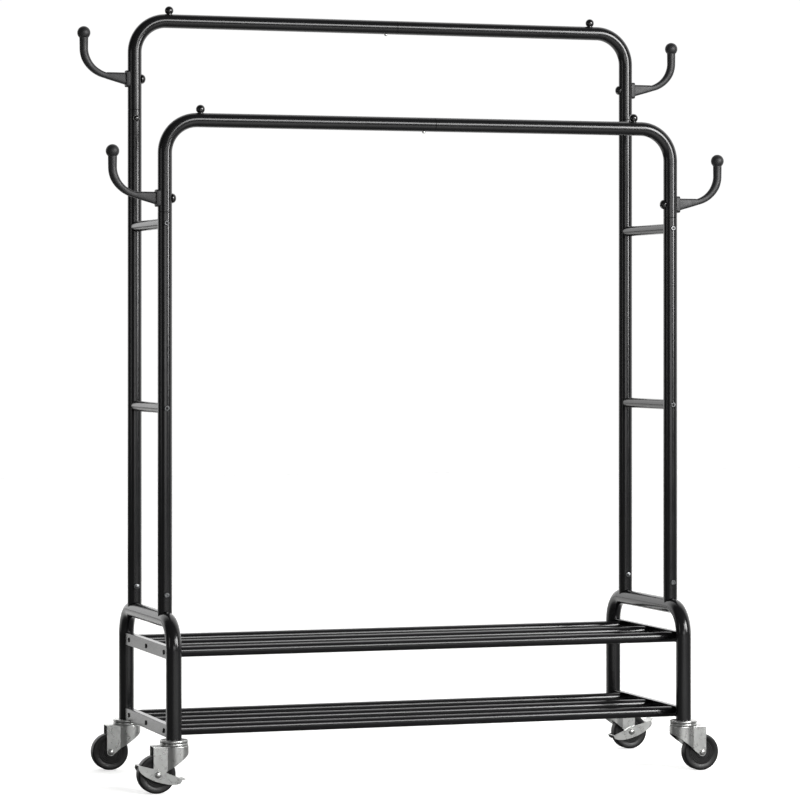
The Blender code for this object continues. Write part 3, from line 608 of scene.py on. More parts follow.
def merge_items(first, *others):
    """Put the shells of other pieces into the first piece."""
    mesh = bmesh.new()
    mesh.from_mesh(first.data)
    for other in others:
        mesh.from_mesh(other.data)
        bpy.data.objects.remove(other, do_unlink=True)
    mesh.to_mesh(first.data)
    mesh.free()
    first.data.shade_smooth()
    first.data.set_sharp_from_angle(angle=CREASE_ANGLE)
    return first


def copy_item(name, source, matrix):
    """A copy of a piece with its place worked into its mesh."""
    data = source.data.copy()
    data.name = name
    data.transform(matrix)
    item = bpy.data.objects.new(name, data)
    bpy.context.collection.objects.link(item)
    return item


def settle(item, body, slot, *nodes):
    """Attach a finished piece to the body it rides on, and hide the parts it stands for. The slot is not
    used.
    """
    if nodes:
        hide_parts(*nodes)
    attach(item, body)
    return item


def rounded_path(corners, radius, steps=BEND_STEPS):
    """Points along straight runs whose corners are bent to a radius."""
    path = [corners[0]]
    for before, corner, after in zip(corners, corners[1:], corners[2:]):
        heading = (corner - before).normalized()
        leaving = (after - corner).normalized()
        turn = heading.angle(leaving)
        inward = (leaving - heading * heading.dot(leaving)).normalized()
        middle = corner - heading * radius * math.tan(turn / 2) + inward * radius
        for step in range(steps + 1):
            angle = turn * step / steps
            path.append(middle - inward * radius * math.cos(angle) + heading * radius * math.sin(angle))
    path.append(corners[-1])
    return path


def swept_tube(name, path, radius, wall, material):
    """A hollow tube along a path, with rounded mouths."""
    mesh = bmesh.new()
    points = [mesh.verts.new(point) for point in path]
    for first, second in zip(points, points[1:]):
        mesh.edges.new((first, second))
    item = new_item(name, mesh)
    use_tree(item, TUBE_TREE, {"Tube Radius": radius, "Steps Round": ROUND_STEPS, "Material": material})
    if wall:
        walls = item.modifiers.new("tube_wall", "SOLIDIFY")
        walls.thickness = wall
        walls.offset = -1.0
        freeze(item)
        return soften(item, MOUTH_ROUND, segments=1)
    return freeze(item)


def close_ends(item):
    """Cap the open mouths of a swept skin."""
    mesh = bmesh.new()
    mesh.from_mesh(item.data)
    bmesh.ops.holes_fill(mesh, edges=[edge for edge in mesh.edges if edge.is_boundary])
    bmesh.ops.recalc_face_normals(mesh, faces=mesh.faces)
    mesh.to_mesh(item.data)
    mesh.free()


def cope(item, end, axis, radius, zone):
    """Shape the tube end that stands at a point, so that it hugs a tube that crosses there. The
    crossing tube has that radius and lies square to axis and to the direction that bends."""
    across = X_AXIS
    for vertex in item.data.vertices:
        offset = vertex.co - end
        if abs(offset.dot(axis)) > zone:
            continue
        reach = offset.dot(across)
        vertex.co -= axis * (radius - math.sqrt(max(radius ** 2 - reach ** 2, 0.0)))
    item.data.set_sharp_from_angle(angle=CREASE_ANGLE)


# Places of the frame's tubes.
LEG_FOOT_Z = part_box("base_frame_left")[0].z
LEG_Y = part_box("base_frame_left")[1].y - half_size("base_frame_left", 0)
CROSSPIECE_Z = centre("base_bolt_front_left").z - BASE_BOLT_RISE


def rail_height(depth):
    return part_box("top_rail_%s_left" % depth)[1].z - half_size("upright_%s_left" % depth, 0)


def leg_path(x):
    """Up one leg of a base frame, across, and down the other."""
    corners = [Vector((x, -LEG_Y, LEG_FOOT_Z)), Vector((x, -LEG_Y, CROSSPIECE_Z)),
               Vector((x, LEG_Y, CROSSPIECE_Z)), Vector((x, LEG_Y, LEG_FOOT_Z))]
    return rounded_path(corners, LEG_BEND_R)


def make_side_tubes(side):
    """A base frame, its two uprights and its two rungs."""
    node = "base_frame_" + side
    x = centre(node).x
    base = swept_tube("base_frame_tube_" + side, leg_path(x), LEG_R, TUBE_WALL, COAT)
    settle(base, "rack", "black_coat", node)
    for depth, _ in DEPTHS:
        node = "upright_%s_%s" % (depth, side)
        y = centre(node).y
        foot = Vector((x, y, CROSSPIECE_Z + LEG_R + FIT))
        top = Vector((x, y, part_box(node)[1].z))
        upright = swept_tube("upright_tube_%s_%s" % (depth, side), [foot, top], UPRIGHT_R, TUBE_WALL, COAT)
        cope(upright, foot, Z_AXIS, LEG_R + FIT, 2 * TUBE_WALL)
        settle(upright, "rack", "black_coat", node)
    for level in TIERS:
        node = "rung_%s_%s" % (level, side)
        middle = centre(node)
        reach = abs(centre("upright_rear_" + side).y) - UPRIGHT_R - FIT
        ends = [middle - Y_AXIS * reach, middle + Y_AXIS * reach]
        rung = swept_tube("rung_tube_%s_%s" % (level, side), ends, RUNG_R, ROD_WALL, COAT)
        cope(rung, ends[0], Y_AXIS, UPRIGHT_R + FIT, 2 * TUBE_WALL)
        cope(rung, ends[1], -Y_AXIS, UPRIGHT_R + FIT, 2 * TUBE_WALL)
        settle(rung, "rack", "black_coat", node)


def make_rail(depth):
    """Both halves of a hanging rail, each bent down into its upright."""
    z = rail_height(depth)
    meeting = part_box("top_rail_%s_left" % depth)[1].x
    for side, sign in SIDES:
        node = "top_rail_%s_%s" % (depth, side)
        upright = "upright_%s_%s" % (depth, side)
        x = centre(upright).x
        y = centre(upright).y
        inner = meeting + (SEAM if sign > 0 else 0.0)
        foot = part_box(upright)[1].z + SEAM
        corners = [Vector((inner, y, z)), Vector((x, y, z)), Vector((x, y, foot))]
        rail = swept_tube("hanging_rail_%s_%s" % (depth, side), rounded_path(corners, RAIL_BEND_R),
                          UPRIGHT_R, TUBE_WALL, COAT)
        settle(rail, "rack", "black_coat", node)


def make_shelf(tier):
    """The three rods of a shelf and the two strips that carry them."""
    for row in SHELF_ROWS:
        node = "shelf_rod_%s_%s" % (tier, row)
        low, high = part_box(node)
        middle = (low + high) / 2
        ends = [Vector((low.x, middle.y, middle.z)), Vector((high.x, middle.y, middle.z))]
        rod = swept_tube("shelf_tube_%s_%s" % (tier, row), ends, ROD_R, ROD_WALL, COAT)
        settle(rod, "rack", "black_coat", node)
    for side, sign in SIDES:
        node = "shelf_rail_%s_%s" % (tier, side)
        low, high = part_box(node)
        face = max(abs(low.x), abs(high.x))
        edge = min(abs(low.x), abs(high.x))
        corners = [(face, low.z), (face, high.z), (edge, high.z), (edge, high.z - STRIP_SHEET),
                   (face - STRIP_SHEET, high.z - STRIP_SHEET), (face - STRIP_SHEET, low.z)]
        radii = (0.4 * MM, STRIP_BEND, 0.4 * MM, 0.4 * MM, STRIP_BEND - STRIP_SHEET, 0.4 * MM)
        outline = []
        for index, radius in enumerate(radii):
            before = corners[index - 1]
            after = corners[(index + 1) % len(corners)]
            outline.extend(eased([before, corners[index], after], radius)[1:-1])
        outline = [(sign * reach, height) for reach, height in outline]
        strip = plate("shelf_strip_%s_%s" % (tier, side), outline, Vector((0, 0, 0)), X_AXIS, Z_AXIS,
                      high.y - low.y, COAT)
        notch = swept_tube("notch", leg_path(centre("base_frame_" + side).x), LEG_R + FIT, 0.0, COAT)
        close_ends(notch)
        cut_with(strip, notch)
        settle(strip, "rack", "black_coat", node)


def scatter(name, places, source, material, slot, body="rack"):
    """Copies of one fastener at (point, facing) places, as one piece."""
    mesh = bmesh.new()
    for point, _ in places:
        mesh.verts.new(point)
    item = new_item(name, mesh)
    facing = item.data.attributes.new("facing", "FLOAT_VECTOR", "POINT")
    for index, (_, direction) in enumerate(places):
        facing.data[index].vector = direction
    use_tree(item, FASTENER_TREE, {"Fastener": source, "Size": 1.0, "Material": material})
    freeze(item)
    return settle(item, body, slot)


def socket_head(name, radius, height):
    """A low round screw head with a six-sided socket, its seat at the origin, facing +Z."""
    profile = eased([(0, 0), (radius, 0), (radius, height * 0.55), (radius * 0.8, height), (0, height)],
                    0.5 * MM)
    head = lathe(name, profile, Vector((0, 0, 0)), Z_AXIS, OXIDE, steps=32)
    key = lathe(name + "_key", ((0, height - SOCKET_DEPTH), (SOCKET_R, height - SOCKET_DEPTH),
                                (SOCKET_R, height + MM), (0, height + MM)),
                Vector((0, 0, 0)), Z_AXIS, OXIDE, steps=6)
    cut_with(head, key)
    return head


def domed_head(name, radius, height, edge, material):
    """A low dome with a short cylindrical edge, its seat at the origin, facing +Z."""
    dome = [(radius * math.sin(math.radians(a)), edge + (height - edge) * math.cos(math.radians(a)))
            for a in (90, 78, 64, 50, 36, 24, 12, 0)]
    return lathe(name, [(0, 0), (radius, 0), *dome[:-1], (0, height)], Vector((0, 0, 0)), Z_AXIS,
                 material, steps=32)


def make_screws():
    """The small fasteners that repeat along the uprights and the shelf strips."""
    head = socket_head("socket_head", SOCKET_HEAD_R, SOCKET_HEAD_H)
    # Painted shade: a black six-sided disc sits in each socket, darker than the head's metal, where the
    # socket lies in shadow.
    floor_r = SOCKET_R * 0.97
    floor_z = SOCKET_HEAD_H - SOCKET_DEPTH + 0.5 * MM
    floor = lathe("socket_floor", eased([(0, -SOCKET_FLOOR_H), (floor_r, -SOCKET_FLOOR_H), (floor_r, 0),
                                         (0, 0)], 0.1 * MM),
                  Vector((0, 0, floor_z)), Z_AXIS, COAT, steps=6)
    dome = domed_head("rod_screw_head", ROD_SCREW_R, ROD_SCREW_H, ROD_SCREW_EDGE, COAT)
    joint = domed_head("joint_bolt_head", JOINT_BOLT_R, JOINT_BOLT_H, JOINT_BOLT_EDGE, PHENOLIC)
    washer = lathe("joint_washer", eased([(BOLT_R, 0), (WASHER_R, 0), (WASHER_R, WASHER_H),
                                          (BOLT_R, WASHER_H)], 0.3 * MM, closed=True),
                   Vector((0, 0, 0)), Z_AXIS, COAT, looped=True, steps=32)

    rung_places = []
    rod_places = []
    joint_places = []
    for side, sign in SIDES:
        for level in TIERS:
            z = centre("rung_%s_%s" % (level, side)).z
            for depth, direction in DEPTHS:
                axis = centre("upright_%s_%s" % (depth, side))
                face = Vector((axis.x, axis.y + direction * UPRIGHT_R, z))
                rung_places.append((face - Y_AXIS * direction * RUNG_SCREW_SINK, Y_AXIS * direction))
        for tier in TIERS:
            low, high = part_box("shelf_rail_%s_%s" % (tier, side))
            web = low.x if sign < 0 else high.x
            for row in SHELF_ROWS:
                rod = centre("shelf_rod_%s_%s" % (tier, row))
                rod_places.append((Vector((web, rod.y, rod.z)), X_AXIS * sign))
        axis = centre("upright_rear_" + side)
        seam_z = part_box("upright_rear_" + side)[1].z
        joint_places.append((Vector((axis.x, axis.y - UPRIGHT_R, seam_z - JOINT_BOLT_DROP)), -Y_AXIS))
    scatter("rung_screw_heads", rung_places, head, OXIDE, "black_coat")
    # Painted shade in the rung screws' sockets.
    scatter("rung_screw_sockets", rung_places, floor, COAT, "black_coat")
    scatter("rod_screw_heads", rod_places, dome, COAT, "black_coat")
    scatter("joint_bolt_washers", joint_places, washer, COAT, "black_coat")
    raised = [(point + direction * WASHER_H, direction) for point, direction in joint_places]
    scatter("joint_bolt_heads", raised, joint, PHENOLIC, "gloss_black")

    for depth, direction in DEPTHS:
        for side, _ in SIDES:
            make_base_bolt(depth, direction, side, head)
    for source in (head, floor, dome, joint, washer):
        bpy.data.objects.remove(source, do_unlink=True)


def nut_shell(name, origin, axis, radius, height):
    """A six-sided nut whose corners are turned down at both faces."""
    block = lathe(name, ((radius, 0), (radius, height)), origin, axis, ZINC, steps=6)
    chamfer = radius * NUT_CHAMFER
    cone = lathe(name + "_cone", ((radius - chamfer, -FIT), (radius - chamfer, 0),
                                  (radius + FIT, chamfer * 0.8), (radius + FIT, height - chamfer * 0.8),
                                  (radius - chamfer, height), (radius - chamfer, height + FIT)),
                 origin, axis, ZINC, steps=36)
    cut_with(block, cone, "INTERSECT")
    return block


def make_base_bolt(depth, direction, side, head_source):
    """The bolt that clamps an upright on its spigot: socket head, shank, nut and thread end; its washer
    is not drawn. The front bolts' heads face the front, and so do the rear bolts' nuts."""
    node = "base_bolt_%s_%s" % (depth, side)
    middle = centre("upright_%s_%s" % (depth, side))
    origin = Vector((middle.x, middle.y, centre(node).z))
    away = Y_AXIS * -direction
    turn = Z_AXIS.rotation_difference(-away).to_matrix().to_4x4()
    head = copy_item("clamp_bolt_%s_%s" % (depth, side), head_source,
                     Matrix.Translation(origin - away * UPRIGHT_R) @ turn)
    shank = lathe("shank", eased(((0, -UPRIGHT_R + FIT), (BOLT_R, -UPRIGHT_R + FIT),
                                  (BOLT_R, UPRIGHT_R), (0, UPRIGHT_R)), 0.2 * MM), origin, away, ZINC)
    nut = nut_shell("nut", origin + away * (UPRIGHT_R + FIT), away, NUT_R, NUT_H)
    start = UPRIGHT_R + NUT_H
    thread = [(0, start)]
    for turn_index in range(THREAD_TURNS):
        along = start + turn_index * THREAD_PITCH
        thread.extend(((BOLT_R - THREAD_DEPTH, along), (BOLT_R, along + THREAD_PITCH / 2)))
    tip = start + (THREAD_TURNS - 0.1) * THREAD_PITCH
    thread.extend(((BOLT_R - 0.6 * MM, tip), (0, tip)))
    tail = lathe("tail", thread, origin, away, ZINC, steps=24)
    bolt = merge_items(head, shank, nut, tail)
    settle(bolt, "rack", "zinc", node)


def loft(name, stations, material, steps=32):
    """A solid through stations of (point, up, side, half height, half width, squareness)."""
    mesh = bmesh.new()
    rings = []
    for point, up, side, half_h, half_w, squareness in stations:
        if half_h < 1e-7:
            rings.append([mesh.verts.new(point)])
            continue
        ring = []
        for index in range(steps):
            angle = (index + 0.5) * math.tau / steps
            rise = math.copysign(abs(math.cos(angle)) ** (2 / squareness), math.cos(angle))
            run = math.copysign(abs(math.sin(angle)) ** (2 / squareness), math.sin(angle))
            ring.append(mesh.verts.new(point + up * rise * half_h + side * run * half_w))
        rings.append(ring)
    skin_rings(mesh, rings)
    return solid_item(name, mesh, material)


def flange_outline(inset):
    """Half of a hook flange's outline from one side to the other: (across, height) points."""
    half_w = HOOK_FLANGE_HALF_W - inset
    half_h = HOOK_FLANGE_HALF_H - inset
    corner = HOOK_FLANGE_CORNER - inset
    left = arc(-half_w + corner, half_h - corner, corner, 180, 90, 8)
    right = arc(half_w - corner, half_h - corner, corner, 90, 0, 8)
    return [*left, *right]


def make_flange(name, bolt, outward):
    """The plate of a coat hook, saddled to its upright, with a rounded front edge."""
    mesh = bmesh.new()
    rings = []
    levels = ((0.0, None), (0.0, HOOK_FLANGE_REACH - HOOK_FLANGE_EDGE),
              (0.3 * HOOK_FLANGE_EDGE, HOOK_FLANGE_REACH - 0.3 * HOOK_FLANGE_EDGE),
              (HOOK_FLANGE_EDGE, HOOK_FLANGE_REACH))
    for inset, reach in levels:
        upper = flange_outline(inset)
        lower = [(across, -height) for across, height in reversed(upper)]
        ring = []
        for across, height in (*upper, *lower):
            hug = math.sqrt((UPRIGHT_R + FIT) ** 2 - across ** 2) if reach is None else reach
            ring.append(mesh.verts.new(bolt + outward * hug + Y_AXIS * across + Z_AXIS * height))
        rings.append(ring)
    for first, second in zip(rings, rings[1:]):
        bridge(mesh, first, second)
    for ring in (rings[0], rings[-1]):
        for index in range(len(ring) // 2 - 1):
            mesh.faces.new((ring[index], ring[index + 1], ring[-index - 2], ring[-index - 1]))
    return solid_item(name, mesh, NYLON)


def make_hook(depth, side, sign):
    """A coat hook: a saddled flange, a blade that tapers to a round neck, a sweep and a ball end."""
    node = "hook_%s_%s" % (depth, side)
    axis = centre("upright_%s_%s" % (depth, side))
    bolt = Vector((axis.x, axis.y, centre("hook_bolt_%s_%s" % (depth, side)).z))
    outward = X_AXIS * sign
    low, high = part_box(node)
    tip = high.x if sign > 0 else low.x
    ball_r = abs(tip - bolt.x) - HOOK_STEM_REACH

    stations = []
    arm_steps = 10
    root_reach = UPRIGHT_R + HOOK_ROOT_DEPTH
    for step in range(arm_steps + 1):
        share = step / arm_steps
        reach = root_reach + (HOOK_NECK_REACH - 4 * MM - root_reach) * share
        along = (reach - HOOK_FLANGE_REACH) / (HOOK_NECK_REACH - HOOK_FLANGE_REACH)
        under = HOOK_ARM_ROOT_LOW + (HOOK_NECK_LOW - HOOK_ARM_ROOT_LOW) * along
        point = bolt + outward * reach + Z_AXIS * (HOOK_ARM_TOP + under) / 2
        half_w = HOOK_ARM_ROOT_HALF_W + (HOOK_NECK_R - HOOK_ARM_ROOT_HALF_W) * along
        squareness = HOOK_ARM_SQUARE + (HOOK_NECK_SQUARE - HOOK_ARM_SQUARE) * along
        stations.append((point, Z_AXIS, Y_AXIS, (HOOK_ARM_TOP - under) / 2, half_w, squareness))
    half_reach = HOOK_STEM_REACH - HOOK_SWEEP_REACH
    start = math.asin((HOOK_NECK_REACH - HOOK_SWEEP_REACH) / half_reach)
    sweep_steps = 26
    for step in range(sweep_steps + 1):
        share = step / sweep_steps
        angle = start + (math.pi / 2 - start) * share
        radius = HOOK_NECK_R + (HOOK_STEM_R - HOOK_NECK_R) * min(1.0, 1.4 * share)
        reach = HOOK_SWEEP_REACH + half_reach * math.sin(angle)
        height = HOOK_SWEEP_Z - HOOK_SWEEP_HALF_H * math.cos(angle)
        heading = (outward * half_reach * math.cos(angle)
                   + Z_AXIS * HOOK_SWEEP_HALF_H * math.sin(angle)).normalized()
        up = (Z_AXIS - heading * heading.z).normalized() if share < 0.5 else None
        if up is None:
            up = (outward * -1 + heading * heading.dot(outward)).normalized()
        point = bolt + outward * reach + Z_AXIS * height
        squareness = HOOK_NECK_SQUARE + (HOOK_STEM_SQUARE - HOOK_NECK_SQUARE) * min(1.0, 2.5 * share)
        stations.append((point, up, Y_AXIS, radius, radius, squareness))
    ball = bolt + outward * HOOK_STEM_REACH + Z_AXIS * HOOK_BALL_Z
    neck_angle = math.asin((HOOK_STEM_R + 0.3 * MM) / ball_r)
    ball_steps = 16
    for step in range(ball_steps + 1):
        angle = neck_angle + (math.pi - neck_angle) * step / ball_steps
        radius = ball_r * math.sin(angle)
        if step == ball_steps:
            radius = 0.0
        point = ball - Z_AXIS * ball_r * math.cos(angle)
        stations.append((point, -outward, Y_AXIS, radius, radius, HOOK_STEM_SQUARE))
    arm = loft("coat_hook_%s_%s" % (depth, side), stations, NYLON)
    flange = make_flange("flange", bolt, outward)
    cut_with(arm, flange, "UNION")
    settle(arm, "rack", "hook_plastic", node)

    node = "hook_bolt_%s_%s" % (depth, side)
    low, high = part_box(node)
    cap_r = half_size(node, 2) / math.cos(math.pi / 10)
    outer = low.x if sign > 0 else high.x
    cap_h = abs(outer - bolt.x) - UPRIGHT_R
    seat = bolt - outward * (UPRIGHT_R - CAP_SINK)
    dome = [(cap_r * 0.97 * math.sin(math.radians(a)),
             CAP_RIM_H + (cap_h + CAP_SINK - CAP_RIM_H) * math.cos(math.radians(a)))
            for a in (84, 72, 60, 48, 36, 24, 12)]
    profile = [(0, 0), (cap_r, 0), (cap_r, CAP_RIM_H), *dome, (0, cap_h + CAP_SINK)]
    cap = lathe("hook_cap_%s_%s" % (depth, side), profile, seat, -outward, PHENOLIC)
    settle(cap, "rack", "gloss_black", node)


def make_knob(depth, side):
    """A hanger stop: a polished ball on a short waisted neck."""
    node = "stop_knob_%s_%s" % (depth, side)
    low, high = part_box(node)
    middle = (low + high) / 2
    seat_z = rail_height(depth) + UPRIGHT_R
    radius = (high.x - low.x) / 2
    rise = high.z - radius - seat_z
    ball = [(radius * math.sin(math.radians(a)), rise - radius * math.cos(math.radians(a)))
            for a in range(34, 180, 8)]
    profile = [(0, -KNOB_SINK), (radius * 0.62, -KNOB_SINK), (radius * 0.62, 0.5 * MM),
               (radius * 0.5, 1.0 * MM), *ball, (0, high.z - seat_z)]
    knob = lathe("hanger_stop_%s_%s" % (depth, side), profile, Vector((middle.x, middle.y, seat_z)),
                 Z_AXIS, PHENOLIC)
    settle(knob, "rack", "gloss_black", node)


def make_rail_screw(depth):
    """The tip of the screw under the middle of a rail; its cross slot is not drawn."""
    node = "rail_screw_" + depth
    low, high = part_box(node)
    middle = (low + high) / 2
    under = rail_height(depth) - UPRIGHT_R
    radius = half_size(node, 0)
    drop = under - low.z
    profile = eased([(0, drop), (radius * 0.7, drop), (radius, drop * 0.35), (radius, -0.5 * MM),
                     (0, -0.5 * MM)], 0.4 * MM)
    screw = lathe("rail_middle_screw_" + depth, profile, Vector((middle.x, middle.y, under)), -Z_AXIS,
                  ZINC, steps=32)
    settle(screw, "rack", "zinc", node)


def fork_plan(inset, tongue_end, steps=40):
    """The fork seen from above: a disc behind the kingpin and a straight tongue to the axle."""
    radius = FORK_DISC_R - inset
    half_w = FORK_HALF_W - inset
    corner = math.degrees(math.asin(half_w / radius))
    return [(tongue_end, half_w), *arc(-FORK_DISC_BACK, 0, radius, corner, 360 - corner, steps),
            (tongue_end, -half_w)]


def ring_profile(inner, outer, low, high, lip):
    """The section of a flat ring whose outer edge is rolled."""
    return eased([(inner, low), (outer, low), (outer, high), (inner, high)], lip, steps=5, closed=True)


def fork_source(fork_top, axle_z):
    """A pressed fork for a caster on the +X side, its swivel axis through the origin."""
    low = axle_z - FORK_BOSS_R - 2 * MM
    mesh = bmesh.new()
    rings = []
    for inset, height in ((0, low), (0, fork_top - 1.4 * FORK_EDGE), (0, fork_top - FORK_EDGE),
                          (0.13 * FORK_EDGE, fork_top - 0.5 * FORK_EDGE),
                          (0.5 * FORK_EDGE, fork_top - 0.13 * FORK_EDGE), (FORK_EDGE, fork_top),
                          (1.4 * FORK_EDGE, fork_top)):
        rings.append([mesh.verts.new((u, v, height)) for u, v in fork_plan(inset, FORK_TONGUE_END)])
    skin_rings(mesh, rings)
    fork = solid_item("fork", mesh, ZINC)
    front = -FORK_DISC_BACK - FORK_DISC_R - MM
    side_view = [(front, fork_top + MM), (front, fork_top - FORK_SKIRT_DROP),
                 (FORK_CORNER_REACH, axle_z + FORK_CORNER_RISE),
                 *arc(TRAIL, axle_z, FORK_BOSS_R, 215, 360, 16),
                 (FORK_TONGUE_END + MM, axle_z + FORK_NOSE_RISE), (FORK_TONGUE_END + MM, fork_top + MM)]
    keep = plate("fork_side", eased(side_view, FORK_CORNER_ROUND, closed=True), Vector((0, 0, 0)),
                 X_AXIS, Z_AXIS, 3 * FORK_DISC_R, ZINC)
    cut_with(fork, keep, "INTERSECT")
    hollow_top = fork_top - FORK_SHEET
    hollow = plate("fork_hollow", fork_plan(FORK_SHEET, FORK_TONGUE_END + OVERCUT),
                   Vector((0, 0, (hollow_top + low - OVERCUT) / 2)), X_AXIS, Y_AXIS,
                   hollow_top - low + OVERCUT, ZINC)
    cut_with(fork, hollow)
    return soften(fork, PRESSED_EDGE)


def race_source(fork_top, race_r):
    """The lower race, riveted on the fork."""
    profile = ring_profile(KINGPIN_R + FIT, race_r, fork_top - 0.2 * MM, fork_top + RACE_H, RACE_LIP)
    return lathe("race", profile, Vector((0, 0, 0)), Z_AXIS, ZINC, steps=RACE_STEPS, looped=True)


def stem_source(fork_top, leg_foot, race_r):
    """The upper race plate, its kingpin and the plug that fills the leg."""
    plate_low = fork_top + RACE_H + FIT
    plate_high = leg_foot - FIT
    disc = lathe("race_plate", ring_profile(KINGPIN_R, race_r, plate_low, plate_high, RACE_LIP),
                 Vector((0, 0, 0)), Z_AXIS, ZINC, steps=RACE_STEPS, looped=True)
    head_top = fork_top - FORK_SHEET - FIT
    head_low = head_top - KINGPIN_HEAD_H
    plug_r = LEG_R - TUBE_WALL - PLUG_PLAY
    plug_top = plate_high + PLUG_LENGTH
    pin = lathe("kingpin", eased([(0, head_low), (KINGPIN_HEAD_R, head_low), (KINGPIN_HEAD_R, head_top),
                                  (KINGPIN_R - FIT, head_top), (KINGPIN_R - FIT, plate_high - MM),
                                  (plug_r, plate_high - MM), (plug_r, plug_top), (0, plug_top)],
                                 0.6 * MM),
                Vector((0, 0, 0)), Z_AXIS, ZINC)
    return merge_items(disc, pin)


def wheel_source(radius, half):
    """A solid wheel round the Y axis: hub boss, grooved web, rim and rounded tread."""
    bore = AXLE_R + WHEEL_PLAY
    web = half - WHEEL_WEB_DEPTH
    rim = half - WHEEL_RIM_DEPTH
    face = [(bore, half), (WHEEL_HUB_R, half), (WHEEL_HUB_R + 1.4 * MM, web)]
    floor = web - WHEEL_GROOVE_DEPTH
    for groove_r in WHEEL_GROOVES:
        face.extend(((groove_r - WHEEL_GROOVE_HALF_W, web), (groove_r - WHEEL_GROOVE_HALF_W / 2, floor),
                     (groove_r + WHEEL_GROOVE_HALF_W / 2, floor), (groove_r + WHEEL_GROOVE_HALF_W, web)))
    face.extend(((WHEEL_RIM_R, web), (WHEEL_RIM_R + 1.2 * MM, rim), (radius - WHEEL_SHOULDER, rim)))
    shoulder = arc(radius - WHEEL_SHOULDER, rim - WHEEL_SHOULDER, WHEEL_SHOULDER, 78, 0, 6)
    upper = [*face, *shoulder]
    profile = [*upper, *[(reach, -along) for reach, along in reversed(upper)]]
    return lathe("wheel", profile, Vector((0, 0, 0)), Y_AXIS, WHEEL, steps=96, looped=True)


def axle_source(face_y, back_y):
    """The axle bolt along Y: domed head at the front, nut at the back."""
    head_base = face_y + AXLE_HEAD_H
    dome = [(AXLE_HEAD_R * math.sin(math.radians(a)), head_base - AXLE_HEAD_H * math.cos(math.radians(a)))
            for a in range(10, 91, 10)]
    shank_end = back_y - AXLE_NUT_H / 2
    profile = [(0, face_y), *dome, (AXLE_HEAD_R, head_base + 0.01 * MM), (AXLE_R, head_base + 0.02 * MM),
               (AXLE_R, shank_end), (0, shank_end)]
    bolt = lathe("axle", profile, Vector((0, 0, 0)), Y_AXIS, ZINC, steps=40)
    nut = nut_shell("axle_nut", Vector((0, back_y - AXLE_NUT_H, 0)), Y_AXIS, AXLE_HEAD_R, AXLE_NUT_H)
    return merge_items(bolt, nut)


def make_caster(depth, side, sign, sources):
    """One caster: stem and plate on the rack, fork and axle on the swivel, wheel on the axle."""
    place = "%s_%s" % (depth, side)
    swivel = centre("caster_stem_" + place)
    wheel_at = centre("caster_wheel_" + place)
    turn = Matrix.Rotation(math.pi if sign < 0 else 0.0, 4, "Z")
    at_swivel = Matrix.Translation((swivel.x, swivel.y, 0)) @ turn
    stem = copy_item("caster_plate_" + place, sources["stem"], at_swivel)
    settle(stem, "rack", "zinc", "caster_stem_" + place)
    fork = copy_item("fork_pressing_" + place, sources["fork"], at_swivel)
    settle(fork, "caster_" + place, "zinc", "caster_fork_" + place)
    race = copy_item("lower_race_" + place, sources["race"], at_swivel)
    settle(race, "caster_" + place, "zinc")
    wheel = copy_item("wheel_" + place, sources["wheel"], Matrix.Translation(wheel_at))
    settle(wheel, "wheel_" + place, "wheel_rubber", "caster_wheel_" + place)
    low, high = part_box("caster_axle_" + place)
    axle = axle_source(low.y - wheel_at.y, high.y - wheel_at.y)
    axle.name = "axle_bolt_" + place
    axle.data.transform(Matrix.Translation(wheel_at))
    settle(axle, "caster_" + place, "zinc", "caster_axle_" + place)


